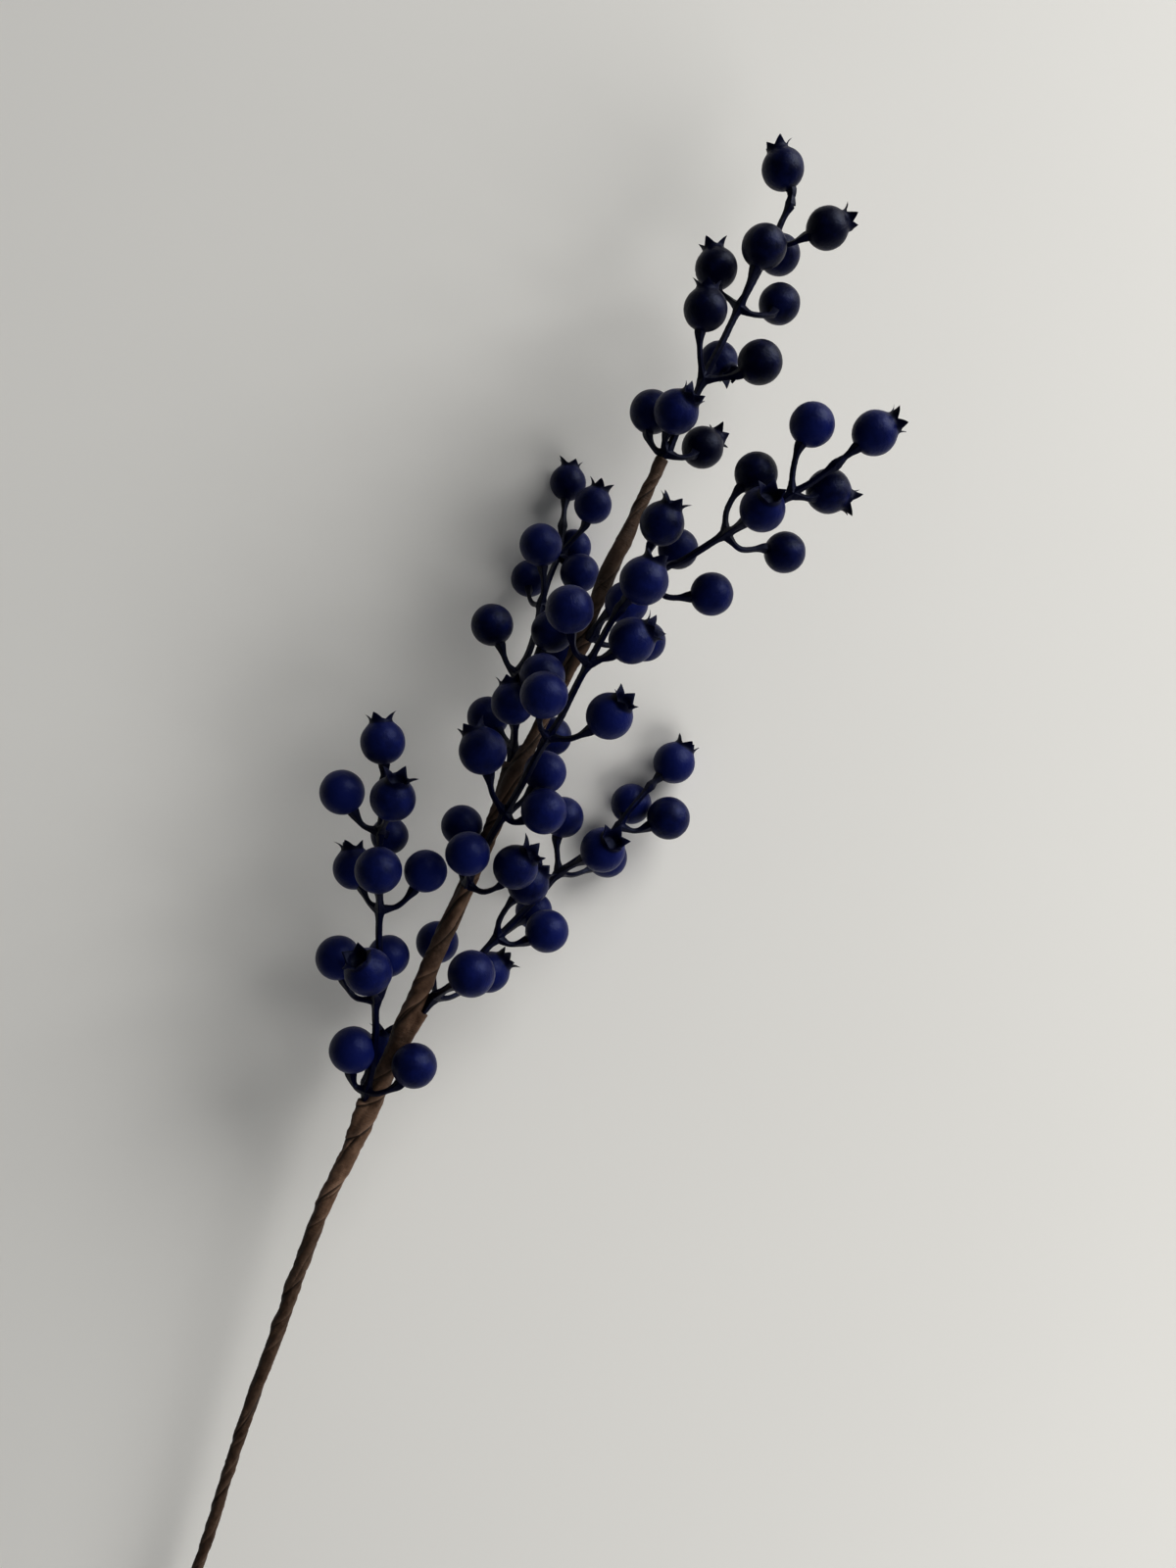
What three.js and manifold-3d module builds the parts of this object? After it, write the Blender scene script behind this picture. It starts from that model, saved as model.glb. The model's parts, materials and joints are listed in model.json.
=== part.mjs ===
import * as THREE from "three";
import { mergeVertices } from "three/addons/utils/BufferGeometryUtils.js";
import Module from "manifold-3d";

// An artificial berry stem that lies on a table: a wire wound with paper tape, and six moulded berry sprays.
// Millimetres, +Z up, the stem along +Y from its cut foot, the table at height 0.

// The sprig as it looks from one eye above it
// Places below are [across, along, height]. Across and along are read where the eye sees them against a level
// plane at the height of the stem's top, and height is above the table. seen() gives the true place.
const eyeAcross = 15.4;
const eyeAlong = 373.4;
const eyeDistance = 400;
const planeHeight = 45;
const eyeHeight = planeHeight + eyeDistance;

// The middle of the sprig's true width and length, which the origin lies under
const middleAcross = 1.9;
const middleAlong = 280;

// Wire and paper tape
const stemSteps = 33;
const wireRadius = 0.65;
const wireSides = 6;
const wireShows = 3;
const boreRadius = 1;
const tapeSides = 10;
const sleeveRadius = 1.7;
const sleeveStart = 0.8;
const sleeveSides = 8;
const sleeveSinks = 2.5;

// Stalks
const clearance = 0.3;
const tailRadius = 0.8;
const tailGrows = 6;
const mainRadius = 1.05;
const mainEndRadius = 0.8;
const mainSides = 6;
const mainStepLength = 8;
const stalkRadius = 0.75;
const stalkSides = 5;
const stalkSteps = 4;
const stalkSinks = 0.6;

// Berries, in shares of their radius: [out from the axis, up along it] from the stalk's pole to the other
const plainSides = 8;
const crownedSides = 10;
const ballOutline = [[0, -0.98], [0.62, -0.78], [0.98, -0.22], [0.96, 0.34]];
const plainTop = [[0.66, 0.76], [0, 1]];
const crownNeck = [0.56, 0.86];
const sepalTip = [0.6, 1.32];
const sepalThickness = 0.12;
const crownFloor = [[0.2, 0.9], [0, 0.88]];
const notchDepth = 0.36;
const notchNarrows = 0.72;
const facetAllowance = 1.03;
const neckStart = 1.5;
const neckEnd = 0.95;
const neckWidens = 0.16;
const pressedFlat = 0.35;

// The stem's middle line, [across, along, height, radius of the winding], from the cut foot to the top
const stem = [
  [1.5, 36.5, 1.6, 1.6],
  [0.9, 84, 8.5, 1.55],
  [0.3, 131, 16, 1.55],
  [-2.7, 162.6, 19.5, 1.65],
  [-5.1, 203.4, 24, 1.85],
  [-6.7, 235.5, 27.5, 2.15],
  [-5.9, 250, 29.3, 2.3],
  [-5.5, 262, 31, 2.7],
  [-5.4, 276, 32.4, 2.6],
  [-5.2, 290, 34, 2.8],
  [-5.3, 300, 35, 2.6],
  [-5.5, 312, 36, 2.5],
  [-5.1, 322, 37, 2.4],
  [-4.7, 334, 38.3, 2.1],
  [-4.5, 352, 40.2, 2.1],
  [-4.6, 362, 41.2, 2.4],
  [-4.6, 369, 41.9, 2.4],
  [-3.8, 377, 42.8, 1.7],
  [-3.2, 388, 43.8, 1.65],
  [-2.4, 400, 44.6, 1.7],
  [-2, 408, 45, 2],
  [-2.2, 418, 45, 1.7],
  [-2.6, 431, 45, 2.2],
  [-2, 440, 45, 2.05],
  [-1.8, 447, 45, 1.65],
  [-1.3, 458, 45, 1.65],
  [-1.2, 465.5, 45, 1.6],
];

// The sprays
// Each has its main stalk's line, from its tail in the tape to the last berry's foot, and its whorls. Each berry
// has its middle, its width as seen, the bends of its own stalk between the whorl and the berry, and for a crowned
// one where the crown points: degrees anticlockwise from across, and degrees upwards.
const sprays = [
  {
    name: "spray_tip",
    main: [
      [-1.3, 457.5, 45],
      [-1.1, 465.5, 45],
      [-0.4, 468, 45.3],
      [-0.3, 474, 45.5],
      [0.6, 482, 46],
      [0.8, 490.5, 46],
      [1.5, 500, 46],
      [2.2, 513, 45],
      [3.2, 524, 43.5],
      [4, 534, 42],
      [3.8, 540, 41.5],
      [4.2, 545, 41.5],
    ],
    whorls: [
      { from: [-0.6, 467.5, 45.2], berries: [
        { at: [-8.9, 476.5, 42], wide: 12, bends: [[-3.4, 467, 44.5], [-7.4, 470.2, 43]] },
        { at: [-2.6, 479.2, 53], wide: 12.3, crown: [64, 30], bends: [[-2.2, 470, 46.5], [-2.7, 473, 48.5]] },
        { at: [8.1, 472.9, 36], wide: 11.4, crown: [62, -25], bends: [[3, 467.7, 44.5], [6, 469.3, 42.5]] },
      ] },
      { from: [0.8, 490.5, 46], berries: [
        { at: [-6.3, 508.9, 51], wide: 12, crown: [108, 10], bends: [[-2.2, 495.5, 48.5], [-5.2, 502.4, 50.3]] },
        { at: [13.6, 501.2, 48], wide: 12.2, bends: [[5, 492.6, 46.5], [9.2, 495.6, 47.4]] },
        { at: [2.7, 497, 33], wide: 10.6, crown: [-33, 25], bends: [[1.7, 493.2, 40]] },
      ] },
      { from: [2.2, 513, 45], berries: [
        { at: [2, 531.5, 51], wide: 12.2, bends: [[2.2, 518, 47.5], [2, 523.6, 50]] },
        { at: [-8, 520.6, 39], wide: 11.5, crown: [121, -5], bends: [[-1.5, 514.2, 43], [-5, 515, 41]] },
        { at: [12.2, 518.4, 35], wide: 11.2, bends: [[6, 512.7, 45], [11.4, 514.8, 41]] },
      ] },
      { from: [4, 534, 42], berries: [
        { at: [16.3, 543.2, 44], wide: 11.6, crown: [46, -5], bends: [[8, 534.8, 42.5], [11.4, 538.4, 43.5]] },
        { at: [6.8, 531.1, 30], wide: 11.2, bends: [[5.6, 532.6, 37.5]] },
      ] },
      { from: [4.2, 545, 41.5], berries: [
        { at: [-1.7, 553.6, 42], wide: 11.5, crown: [128, 0], bends: [[3, 548.8, 41.5]] },
      ] },
    ],
  },
  {
    name: "spray_upper_right",
    main: [
      [-1.4, 400.5, 46.4],
      [-1, 408, 46.9],
      [0.3, 412.3, 47.3],
      [0.9, 417, 47],
      [2.4, 423, 47.3],
      [5, 428.5, 48.5],
      [8.2, 434, 51],
      [11, 437.6, 53],
      [14.6, 440.6, 55],
      [18.6, 446, 57.5],
      [23.5, 453, 60],
      [27.5, 457.6, 62],
      [31.8, 463, 63.5],
      [36.2, 470.6, 65],
      [40.2, 476, 66],
      [44.2, 482.6, 66.5],
    ],
    whorls: [
      { from: [0.3, 412.3, 47.3], berries: [
        { at: [5.5, 424.4, 55], wide: 11.9, bends: [[0.4, 415.6, 49], [2.4, 419.8, 52.3]] },
        { at: [14.6, 416.6, 40], wide: 11, bends: [[4, 411.1, 44.5], [9.6, 413.6, 41.5]] },
        { at: [-6.8, 405, 24], wide: 10, bends: [[1.6, 411.4, 42.5], [-2.6, 409.4, 31]] },
      ] },
      { from: [8.2, 434, 51], berries: [
        { at: [6, 448.8, 60], wide: 12.2, crown: [84, 20], bends: [[6, 437, 54.5], [5.5, 441.6, 57.5]] },
        { at: [12.9, 444, 44], wide: 11, bends: [[10.5, 436, 48], [12, 438.8, 46]] },
        { at: [26.5, 436, 50], wide: 11.8, bends: [[14.5, 430.4, 51.5], [21, 432.8, 50.5]] },
      ] },
      { from: [23.5, 453, 60], berries: [
        { at: [24.8, 472, 57], wide: 11.8, bends: [[21.3, 459, 59], [21.9, 465.4, 58]] },
        { at: [30.3, 463.5, 70], wide: 12.5, crown: [80, 50], bends: [[25.4, 456, 64], [27.6, 459, 67.5]] },
        { at: [40.8, 454.8, 53], wide: 11.3, bends: [[29, 450.8, 58], [35, 453.6, 55]] },
      ] },
      { from: [36.2, 470.6, 65], berries: [
        { at: [33.9, 490.8, 66], wide: 12.3, bends: [[34, 476.8, 65.5], [33, 483.4, 66]] },
        { at: [45.4, 475.4, 58], wide: 12.2, crown: [0, -10], bends: [[41, 471.4, 63.5]] },
      ] },
      { from: [44.2, 482.6, 66.5], berries: [
        { at: [51, 495.5, 67], wide: 12.4, crown: [50, 5], bends: [[47.2, 488.4, 67]] },
      ] },
    ],
  },
  {
    name: "spray_front",
    main: [
      [-5, 324, 38.7],
      [-4.8, 331.5, 40.3],
      [-4.9, 334.3, 42],
      [-4.6, 341, 45],
      [-3.8, 350, 49.5],
      [-2.8, 356.8, 53],
      [-2, 363, 56],
      [-1.3, 370, 59.5],
      [-0.8, 376, 62.5],
      [0, 381.2, 65],
      [1, 387, 68],
      [1.4, 394, 71.5],
      [1.8, 400, 74.5],
      [2.3, 404.7, 77],
      [2.9, 411, 79.5],
      [3.5, 417, 82],
      [4.3, 422, 84],
    ],
    whorls: [
      { from: [-4.9, 334.3, 42], berries: [
        { at: [-8, 342.2, 53], wide: 12.2, bends: [[-5.8, 336.8, 47]] },
        { at: [-12.6, 348.8, 37], wide: 11.3, bends: [[-8.6, 337.6, 40.5], [-11.2, 342.8, 38.5]] },
        { at: [5.8, 344, 52], wide: 12.3, crown: [64, 22], bends: [[0, 334, 44.5], [4, 338, 49]] },
      ] },
      { from: [-2.8, 356.8, 53], berries: [
        { at: [-15.4, 370.4, 60], wide: 13.1, crown: [138, -5], bends: [[-8, 360.2, 56], [-11.4, 365.2, 58.5]] },
        { at: [3, 371.8, 50], wide: 11.6, bends: [[0, 361, 51.5], [1.6, 365.8, 50.5]] },
        { at: [7, 361.5, 59], wide: 12.5, bends: [[0.2, 355.4, 54.5], [3, 357.4, 56.5]] },
      ] },
      { from: [0, 381.2, 65], berries: [
        { at: [-5.7, 391.6, 79], wide: 13.1, bends: [[-2.6, 382.4, 69], [-4.4, 385.4, 73.5]] },
        { at: [13.5, 393.3, 71], wide: 12.9, crown: [68, 30], bends: [[5.6, 383, 67], [10, 387.6, 69.5]] },
      ] },
      { from: [2.3, 404.7, 77], berries: [
        { at: [-8.5, 416.5, 86], wide: 13.3, bends: [[-2.4, 406.2, 80.5], [-5.6, 410.8, 83.5]] },
        { at: [11, 415.2, 78], wide: 12.8, crown: [50, 15], bends: [[7, 409, 77.5]] },
      ] },
      { from: [4.3, 422, 84], berries: [
        { at: [7.6, 432, 87], wide: 13.4, crown: [85, 10], bends: [[5.4, 425.6, 85]] },
      ] },
    ],
  },
  {
    name: "spray_rear",
    main: [
      [-6.5, 361, 40],
      [-7, 368, 40],
      [-7.8, 373.8, 39.5],
      [-9, 378, 38.5],
      [-11, 383, 37.5],
      [-13.3, 389, 36.3],
      [-15, 393.8, 35],
      [-14.3, 400, 32.5],
      [-14.9, 407, 28],
      [-16.3, 414.5, 23.5],
      [-17.1, 421, 18],
      [-17.4, 429, 12.5],
      [-18.6, 434.5, 10],
      [-19.4, 437, 9],
    ],
    whorls: [
      { from: [-7.8, 374.2, 39.3], berries: [
        { at: [-17.8, 379.7, 29], wide: 11.3, bends: [[-10, 375.5, 36.5], [-13.4, 377.3, 32.5]] },
        { at: [-12.9, 386, 48], wide: 11.8, crown: [120, -5], bends: [[-8.6, 377, 42.5], [-10.4, 381.2, 45.5]] },
        { at: [0.9, 381.8, 27], wide: 10.6, bends: [[-6.6, 374.8, 35.5], [-3, 378, 31]] },
      ] },
      { from: [-15, 393.8, 35], berries: [
        { at: [-26.8, 404, 35], wide: 11.5, bends: [[-18.4, 395.4, 35], [-22.4, 399.6, 35]] },
        { at: [-10.5, 409, 37], wide: 11.7, bends: [[-12.6, 398, 36], [-11.4, 402.6, 36.7]] },
        { at: [-8.2, 396.3, 52], wide: 12.4, bends: [[-13.8, 394.2, 40], [-11.4, 395, 46]] },
      ] },
      { from: [-16.3, 414.5, 23.5], berries: [
        { at: [-23, 430, 27], wide: 11.6, bends: [[-17.2, 418.5, 24.5], [-19.8, 423.8, 26]] },
        { at: [-22.3, 420, 6], wide: 9.9, bends: [[-18.8, 414, 18], [-20.8, 416, 12.5]] },
        { at: [-9, 417.5, 20], wide: 10.5, bends: [[-13.6, 414.9, 22.5]] },
      ] },
      { from: [-17.4, 429, 12.5], berries: [
        { at: [-14.3, 433, 5], wide: 9.6, bends: [[-16.2, 430.4, 10]] },
        { at: [-13.9, 446, 15], wide: 10.2, crown: [90, 0], bends: [[-15.4, 434.6, 13], [-13.8, 439.4, 14.2]] },
        { at: [-9.9, 427, 14], wide: 10.6, bends: [[-15, 428.6, 13]] },
      ] },
      { from: [-19.4, 437, 9], berries: [
        { at: [-22.8, 449, 5.2], wide: 9.8, crown: [105, 0], bends: [[-20.4, 440.5, 7.5], [-21.4, 443.6, 6.3]] },
      ] },
    ],
  },
  {
    name: "spray_lower_left",
    main: [
      [-7.3, 258, 31.3],
      [-7.5, 265, 33],
      [-8.2, 269.8, 34.8],
      [-9, 275, 36],
      [-10.5, 280.5, 37],
      [-12.2, 286, 38],
      [-14.4, 291, 39.5],
      [-15.6, 294.3, 40.5],
      [-17.4, 300, 42],
      [-19.8, 306.6, 43.5],
      [-22.3, 312, 44.5],
      [-24.6, 318, 45.5],
      [-27.5, 325, 46.5],
      [-31, 333, 47.5],
      [-33, 338.3, 48],
      [-35, 344, 49],
      [-37.2, 350.5, 50],
    ],
    whorls: [
      { from: [-8.2, 269.8, 34.8], berries: [
        { at: [-16.2, 278.9, 36], wide: 12.8, bends: [[-11.4, 269.8, 34.5], [-14.2, 272.8, 35.3]] },
        { at: [1.4, 281.6, 39], wide: 12.3, bends: [[-5.2, 270.2, 38], [-0.8, 274.6, 39.5]] },
        { at: [-8.8, 281.5, 21], wide: 11, crown: [103, 0], bends: [[-10, 271.5, 29.5], [-9.6, 275.2, 25]] },
      ] },
      { from: [-15.6, 294.3, 40.5], berries: [
        { at: [-30.1, 301.1, 40], wide: 12.2, bends: [[-21.4, 292.8, 40], [-26, 296, 40]] },
        { at: [-20.8, 300.8, 52], wide: 13.2, crown: [141, 45], bends: [[-17.2, 296.4, 46]] },
        { at: [-17.3, 307.1, 33], wide: 11.4, bends: [[-14.8, 297.5, 38.5], [-15.6, 301.6, 35.5]] },
      ] },
      { from: [-24.6, 318, 45.5], berries: [
        { at: [-35.7, 326, 40], wide: 11.6, crown: [120, -5], bends: [[-28, 318.7, 44], [-31.4, 321.6, 42]] },
        { at: [-29.3, 328.1, 57], wide: 12.9, bends: [[-26.4, 321.4, 51]] },
        { at: [-17, 333.1, 45], wide: 11.7, bends: [[-20.4, 321, 45], [-18.2, 326.2, 45]] },
      ] },
      { from: [-33, 338.3, 48], berries: [
        { at: [-47.2, 344.3, 49], wide: 12.3, bends: [[-38, 338, 48], [-42.6, 340.8, 48.6]] },
        { at: [-33.4, 348.2, 60], wide: 12.5, crown: [95, 30], bends: [[-32.8, 341.6, 53.5]] },
        { at: [-30.2, 338.3, 36], wide: 10.2, bends: [[-31.8, 338.3, 42.5]] },
      ] },
      { from: [-37.2, 350.5, 50], berries: [
        { at: [-42.2, 361.7, 52], wide: 12.2, crown: [118, 0], bends: [[-39, 355.2, 51]] },
      ] },
    ],
  },
  {
    name: "spray_lower_right",
    main: [
      [-3.5, 288, 34.2],
      [-2.6, 294, 34.8],
      [-1.7, 298, 35],
      [-0.9, 301.4, 35.3],
      [1, 304.5, 34.5],
      [3.6, 309, 33.5],
      [6, 316, 32],
      [7.6, 320.8, 30.5],
      [8.9, 323.8, 29.5],
      [11, 329, 27.5],
      [13.4, 335.2, 25],
      [15.6, 341, 22.5],
      [17.6, 347.3, 20],
      [20.2, 351.5, 18],
      [23.5, 356.6, 17],
      [26.2, 362, 16],
      [28, 366, 15.5],
      [29, 371, 15],
      [30.5, 375.8, 13],
      [31.7, 379.6, 11],
    ],
    whorls: [
      { from: [-0.9, 301.4, 35.3], berries: [
        { at: [6.1, 311.6, 46], wide: 12.9, bends: [[0.6, 303.4, 39], [2.8, 306.6, 42.5]] },
        { at: [10.4, 314, 25], wide: 11.3, crown: [60, 0], bends: [[3, 303, 32], [7, 308, 27.5]] },
        { at: [-6.2, 316, 22], wide: 11.5, bends: [[-1.5, 303, 31], [-4.2, 308.6, 25.5]] },
      ] },
      { from: [8.9, 323.8, 29.5], berries: [
        { at: [10.9, 341, 36], wide: 11.4, crown: [68, 5], bends: [[7.5, 328, 31.5], [8.2, 333.6, 33.8]] },
        { at: [20.9, 330.9, 27], wide: 11.8, bends: [[13, 323.5, 29], [17, 326.4, 27.7]] },
        { at: [15.3, 334.7, 14], wide: 10, bends: [[11, 327, 24.5], [13, 330.4, 19]] },
      ] },
      { from: [17.6, 347.3, 20], berries: [
        { at: [12.6, 362.1, 19], wide: 11.2, bends: [[15.4, 351.4, 19.8], [13.3, 356, 19.2]] },
        { at: [26.4, 358, 28], wide: 12.3, crown: [70, 50], bends: [[20, 350.2, 22.5], [22.6, 353.4, 25]] },
        { at: [28.3, 356.5, 6], wide: 11, bends: [[21.5, 348.3, 14.5], [25.2, 351.8, 10]] },
      ] },
      { from: [28, 366, 15.5], berries: [
        { at: [28.7, 373, 5.8], wide: 11, bends: [[28.4, 368, 12]] },
        { at: [39.9, 373.4, 12], wide: 11.7, bends: [[32.6, 366.4, 14.2], [36, 369.4, 12.8]] },
      ] },
      { from: [31.7, 379.6, 11], berries: [
        { at: [35.3, 388.3, 6.2], wide: 11.3, crown: [78, 0], bends: [[33, 383, 8.5]] },
      ] },
    ],
  },
];

const wasm = await Module();
wasm.setup();

// The true place of a point seen at [across, along] that lies at that height.
function seen([across, along, height]) {
  const spread = (eyeHeight - height) / eyeDistance;
  const x = eyeAcross + (across - eyeAcross) * spread;
  const y = eyeAlong + (along - eyeAlong) * spread;
  return new THREE.Vector3(x - middleAcross, y - middleAlong, height);
}

// A direction from its turn anticlockwise from across and its rise, in degrees.
function pointing([turn, rise]) {
  const turned = THREE.MathUtils.degToRad(turn);
  const risen = THREE.MathUtils.degToRad(rise);
  return new THREE.Vector3(Math.cos(turned), Math.sin(turned), Math.tan(risen)).normalize();
}

// A geometry's surface with each vertex shared between its triangles.
function joined(geometry) {
  geometry.deleteAttribute("normal");
  geometry.deleteAttribute("uv");
  return mergeVertices(geometry);
}

function solid(geometry) {
  return new wasm.Manifold(
    new wasm.Mesh({
      numProp: 3,
      vertProperties: new Float32Array(geometry.attributes.position.array),
      triVerts: new Uint32Array(geometry.index.array),
    }),
  );
}

// What would reach below the table is pressed flat on it.
function restOnTable(position) {
  for (let i = 0; i < position.count; i += 1) position.setZ(i, Math.max(0, position.getZ(i)));
}

function polygon(radius, sides) {
  const corners = Array.from({ length: sides }, (_, i) => {
    const angle = (i * 2 * Math.PI) / sides;
    return new THREE.Vector2(radius * Math.cos(angle), radius * Math.sin(angle));
  });
  return new THREE.Shape(corners);
}

function curveThrough(points) {
  return new THREE.CatmullRomCurve3(points, false, "centripetal");
}

// A closed tube along a curve: a slim one of even width, each ring of which is then widened to its own radius.
// radiusAt takes the ring's middle and how far along the curve it lies, 0 to 1.
function tube(points, radiusAt, sides, steps) {
  const path = curveThrough(points);
  const slim = 0.25;
  const geometry = joined(new THREE.ExtrudeGeometry(polygon(slim, sides), { steps, extrudePath: path }));
  const middles = path.getSpacedPoints(steps);
  const position = geometry.attributes.position;
  const vertex = new THREE.Vector3();
  for (let i = 0; i < position.count; i += 1) {
    vertex.fromBufferAttribute(position, i);
    const distances = middles.map((middle) => middle.distanceToSquared(vertex));
    const ring = distances.indexOf(Math.min(...distances));
    const widening = radiusAt(middles[ring], ring / steps) / slim;
    vertex.sub(middles[ring]).multiplyScalar(widening).add(middles[ring]);
    position.setXYZ(i, vertex.x, vertex.y, vertex.z);
  }
  restOnTable(position);
  return solid(geometry);
}

// A plain berry about its own axis.
function plainBall(radius) {
  return lathe([...ballOutline, ...plainTop], radius, plainSides);
}

// A crowned berry about its own axis, which narrows to a cup of five flared sepals.
function crownedBall(radius) {
  const [reach, height] = sepalTip;
  const rim = [sepalTip, [reach - sepalThickness, height]];
  const geometry = lathe([...ballOutline, crownNeck, ...rim, ...crownFloor], radius, crownedSides);
  const position = geometry.attributes.position;
  for (let i = 0; i < position.count; i += 1) {
    const turn = Math.atan2(position.getX(i), position.getZ(i)) / (2 * Math.PI);
    const inNotch = Math.round(turn * crownedSides) % 2 !== 0;
    const onRim = position.getY(i) > (height - notchDepth / 2) * radius;
    if (!inNotch || !onRim) continue;
    const lowered = position.getY(i) - notchDepth * radius;
    position.setXYZ(i, position.getX(i) * notchNarrows, lowered, position.getZ(i) * notchNarrows);
  }
  return geometry;
}

function lathe(outline, radius, sides) {
  const points = outline.map(([out, up]) => new THREE.Vector2(out * facetAllowance, up).multiplyScalar(radius));
  return joined(new THREE.LatheGeometry(points, sides));
}

// A berry with its own stalk, which widens to a neck where it meets the berry.
function berry({ at, wide, crown, bends }, from) {
  const middle = seen(at);
  const radius = ((wide / 2) * (eyeHeight - at[2])) / eyeDistance;
  const points = [from, ...bends].map(seen);
  const axis = crown ? pointing(crown) : middle.clone().sub(points.at(-1)).normalize();
  const turn = new THREE.Quaternion().setFromUnitVectors(new THREE.Vector3(0, 1, 0), axis);
  const ball = crown ? crownedBall(radius) : plainBall(radius);
  ball.applyQuaternion(turn).translate(middle.x, middle.y, Math.max(middle.z, radius - pressedFlat));
  restOnTable(ball.attributes.position);
  const radiusAt = (place) => {
    const closeness = -place.distanceTo(middle) / radius;
    return stalkRadius + neckWidens * radius * THREE.MathUtils.smoothstep(closeness, -neckStart, -neckEnd);
  };
  const inside = points.at(-1).clone().lerp(middle, stalkSinks);
  return solid(ball).add(tube([...points, inside], radiusAt, stalkSides, stalkSteps));
}

// A line of two points, made longer by that much at its start.
function startedSooner([start, end], more) {
  const back = start.clone().sub(end).setLength(more);
  return [start.clone().add(back), end];
}

// A spray's main stalk, or with extra round it the room that it needs. Its tail in the tape is slimmer.
function mainStalk(main, extra) {
  const points = main.map(seen);
  const tailEnd = points[0].distanceTo(points[1]);
  if (extra) points[0] = startedSooner(points.slice(0, 2), extra)[0];
  const length = curveThrough(points).getLength();
  const radiusAt = (place, share) => {
    const grown = THREE.MathUtils.smoothstep(share * length, tailEnd, tailEnd + tailGrows);
    return extra + THREE.MathUtils.lerp(tailRadius, THREE.MathUtils.lerp(mainRadius, mainEndRadius, share), grown);
  };
  return tube(points, radiusAt, mainSides, Math.round(length / mainStepLength));
}

function spray({ main, whorls }) {
  const berries = whorls.flatMap((whorl) => whorl.berries.map((each) => berry(each, whorl.from)));
  return berries.reduce((whole, each) => whole.add(each), mainStalk(main, 0));
}

// The wire's run from its cut end, which shows below the tape, to so many of the stem's points below its top.
function wireRun(pointsShort) {
  const line = stem.map(seen);
  return [startedSooner(line.slice(0, 2), wireShows)[0], ...line.slice(1, -pointsShort)];
}

function bendWire() {
  return tube(wireRun(2), () => wireRadius, wireSides, stemSteps);
}

// The tape: thicker where a tail is bound in, bored for the wire, with room for each spray's stalk to come out.
function windTape() {
  const line = stem.map(seen);
  const thickness = (place) => {
    const next = THREE.MathUtils.clamp(line.filter((point) => point.y <= place.y).length, 1, line.length - 1);
    const share = (place.y - line[next - 1].y) / (line[next].y - line[next - 1].y);
    return THREE.MathUtils.lerp(stem[next - 1][3], stem[next][3], share);
  };
  let tape = tube(line, thickness, tapeSides, stemSteps);
  for (const { main } of sprays.slice(1)) {
    const sleeve = startedSooner(main.slice(0, 2).map(seen), sleeveSinks);
    tape = tape.add(tube(sleeve, (place, share) => (share ? sleeveRadius : sleeveStart), sleeveSides, 1));
  }
  tape = tape.subtract(tube(wireRun(1), () => boreRadius, wireSides, stemSteps));
  return sprays.reduce((whole, { main }) => whole.subtract(mainStalk(main, clearance)), tape);
}

function mesh(name, body, material) {
  const { vertProperties, triVerts } = body.getMesh();
  const geometry = new THREE.BufferGeometry();
  geometry.setAttribute("position", new THREE.BufferAttribute(vertProperties, 3));
  geometry.setIndex(new THREE.BufferAttribute(triVerts, 1));
  geometry.computeVertexNormals();
  const part = new THREE.Mesh(geometry, material);
  part.name = name;
  return part;
}

function steel() {
  return new THREE.MeshStandardMaterial({ color: 0x8f8c86, roughness: 0.35, metalness: 1 });
}

function paperTape() {
  return new THREE.MeshStandardMaterial({ color: 0x8a6a50, roughness: 0.85, metalness: 0 });
}

function navyPlastic() {
  return new THREE.MeshStandardMaterial({ color: 0x1b2350, roughness: 0.42, metalness: 0 });
}

const sprig = new THREE.Group();
sprig.add(mesh("core_wire", bendWire(), steel()));
sprig.add(mesh("stem_wrap", windTape(), paperTape()));
for (const each of sprays) sprig.add(mesh(each.name, spray(each), navyPlastic()));

export default sprig;
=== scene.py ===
import json
import math
import random
import bpy
import numpy as np
from mathutils import Matrix, Quaternion, Vector, noise

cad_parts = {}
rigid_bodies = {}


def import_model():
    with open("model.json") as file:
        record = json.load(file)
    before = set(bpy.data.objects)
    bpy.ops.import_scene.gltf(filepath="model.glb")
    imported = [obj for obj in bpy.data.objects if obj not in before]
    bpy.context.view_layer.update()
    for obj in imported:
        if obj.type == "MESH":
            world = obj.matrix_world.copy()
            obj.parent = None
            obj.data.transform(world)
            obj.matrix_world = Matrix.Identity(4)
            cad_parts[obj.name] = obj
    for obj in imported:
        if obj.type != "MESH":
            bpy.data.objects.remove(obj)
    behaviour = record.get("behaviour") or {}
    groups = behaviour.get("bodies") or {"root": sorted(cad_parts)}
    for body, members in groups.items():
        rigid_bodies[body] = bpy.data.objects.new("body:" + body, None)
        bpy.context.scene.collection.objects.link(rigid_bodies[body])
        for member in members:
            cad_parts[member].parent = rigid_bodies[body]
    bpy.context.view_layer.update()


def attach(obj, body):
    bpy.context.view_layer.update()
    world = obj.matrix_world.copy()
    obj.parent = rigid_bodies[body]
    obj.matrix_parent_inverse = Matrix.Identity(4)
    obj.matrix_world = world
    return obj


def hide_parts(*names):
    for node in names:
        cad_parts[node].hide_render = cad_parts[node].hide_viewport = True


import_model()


# How the sprig lies
# The sprig is laid out as one eye above the table sees it: places are [across, along, height] in millimetres,
# read against a level plane at the height of the stem's top, and seen() gives the true place in metres.
MM = 0.001
eye_across, eye_along = 15.4, 373.4
eye_distance, plane_height = 400, 45
eye_height = plane_height + eye_distance
middle_across, middle_along = 1.9, 280


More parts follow.
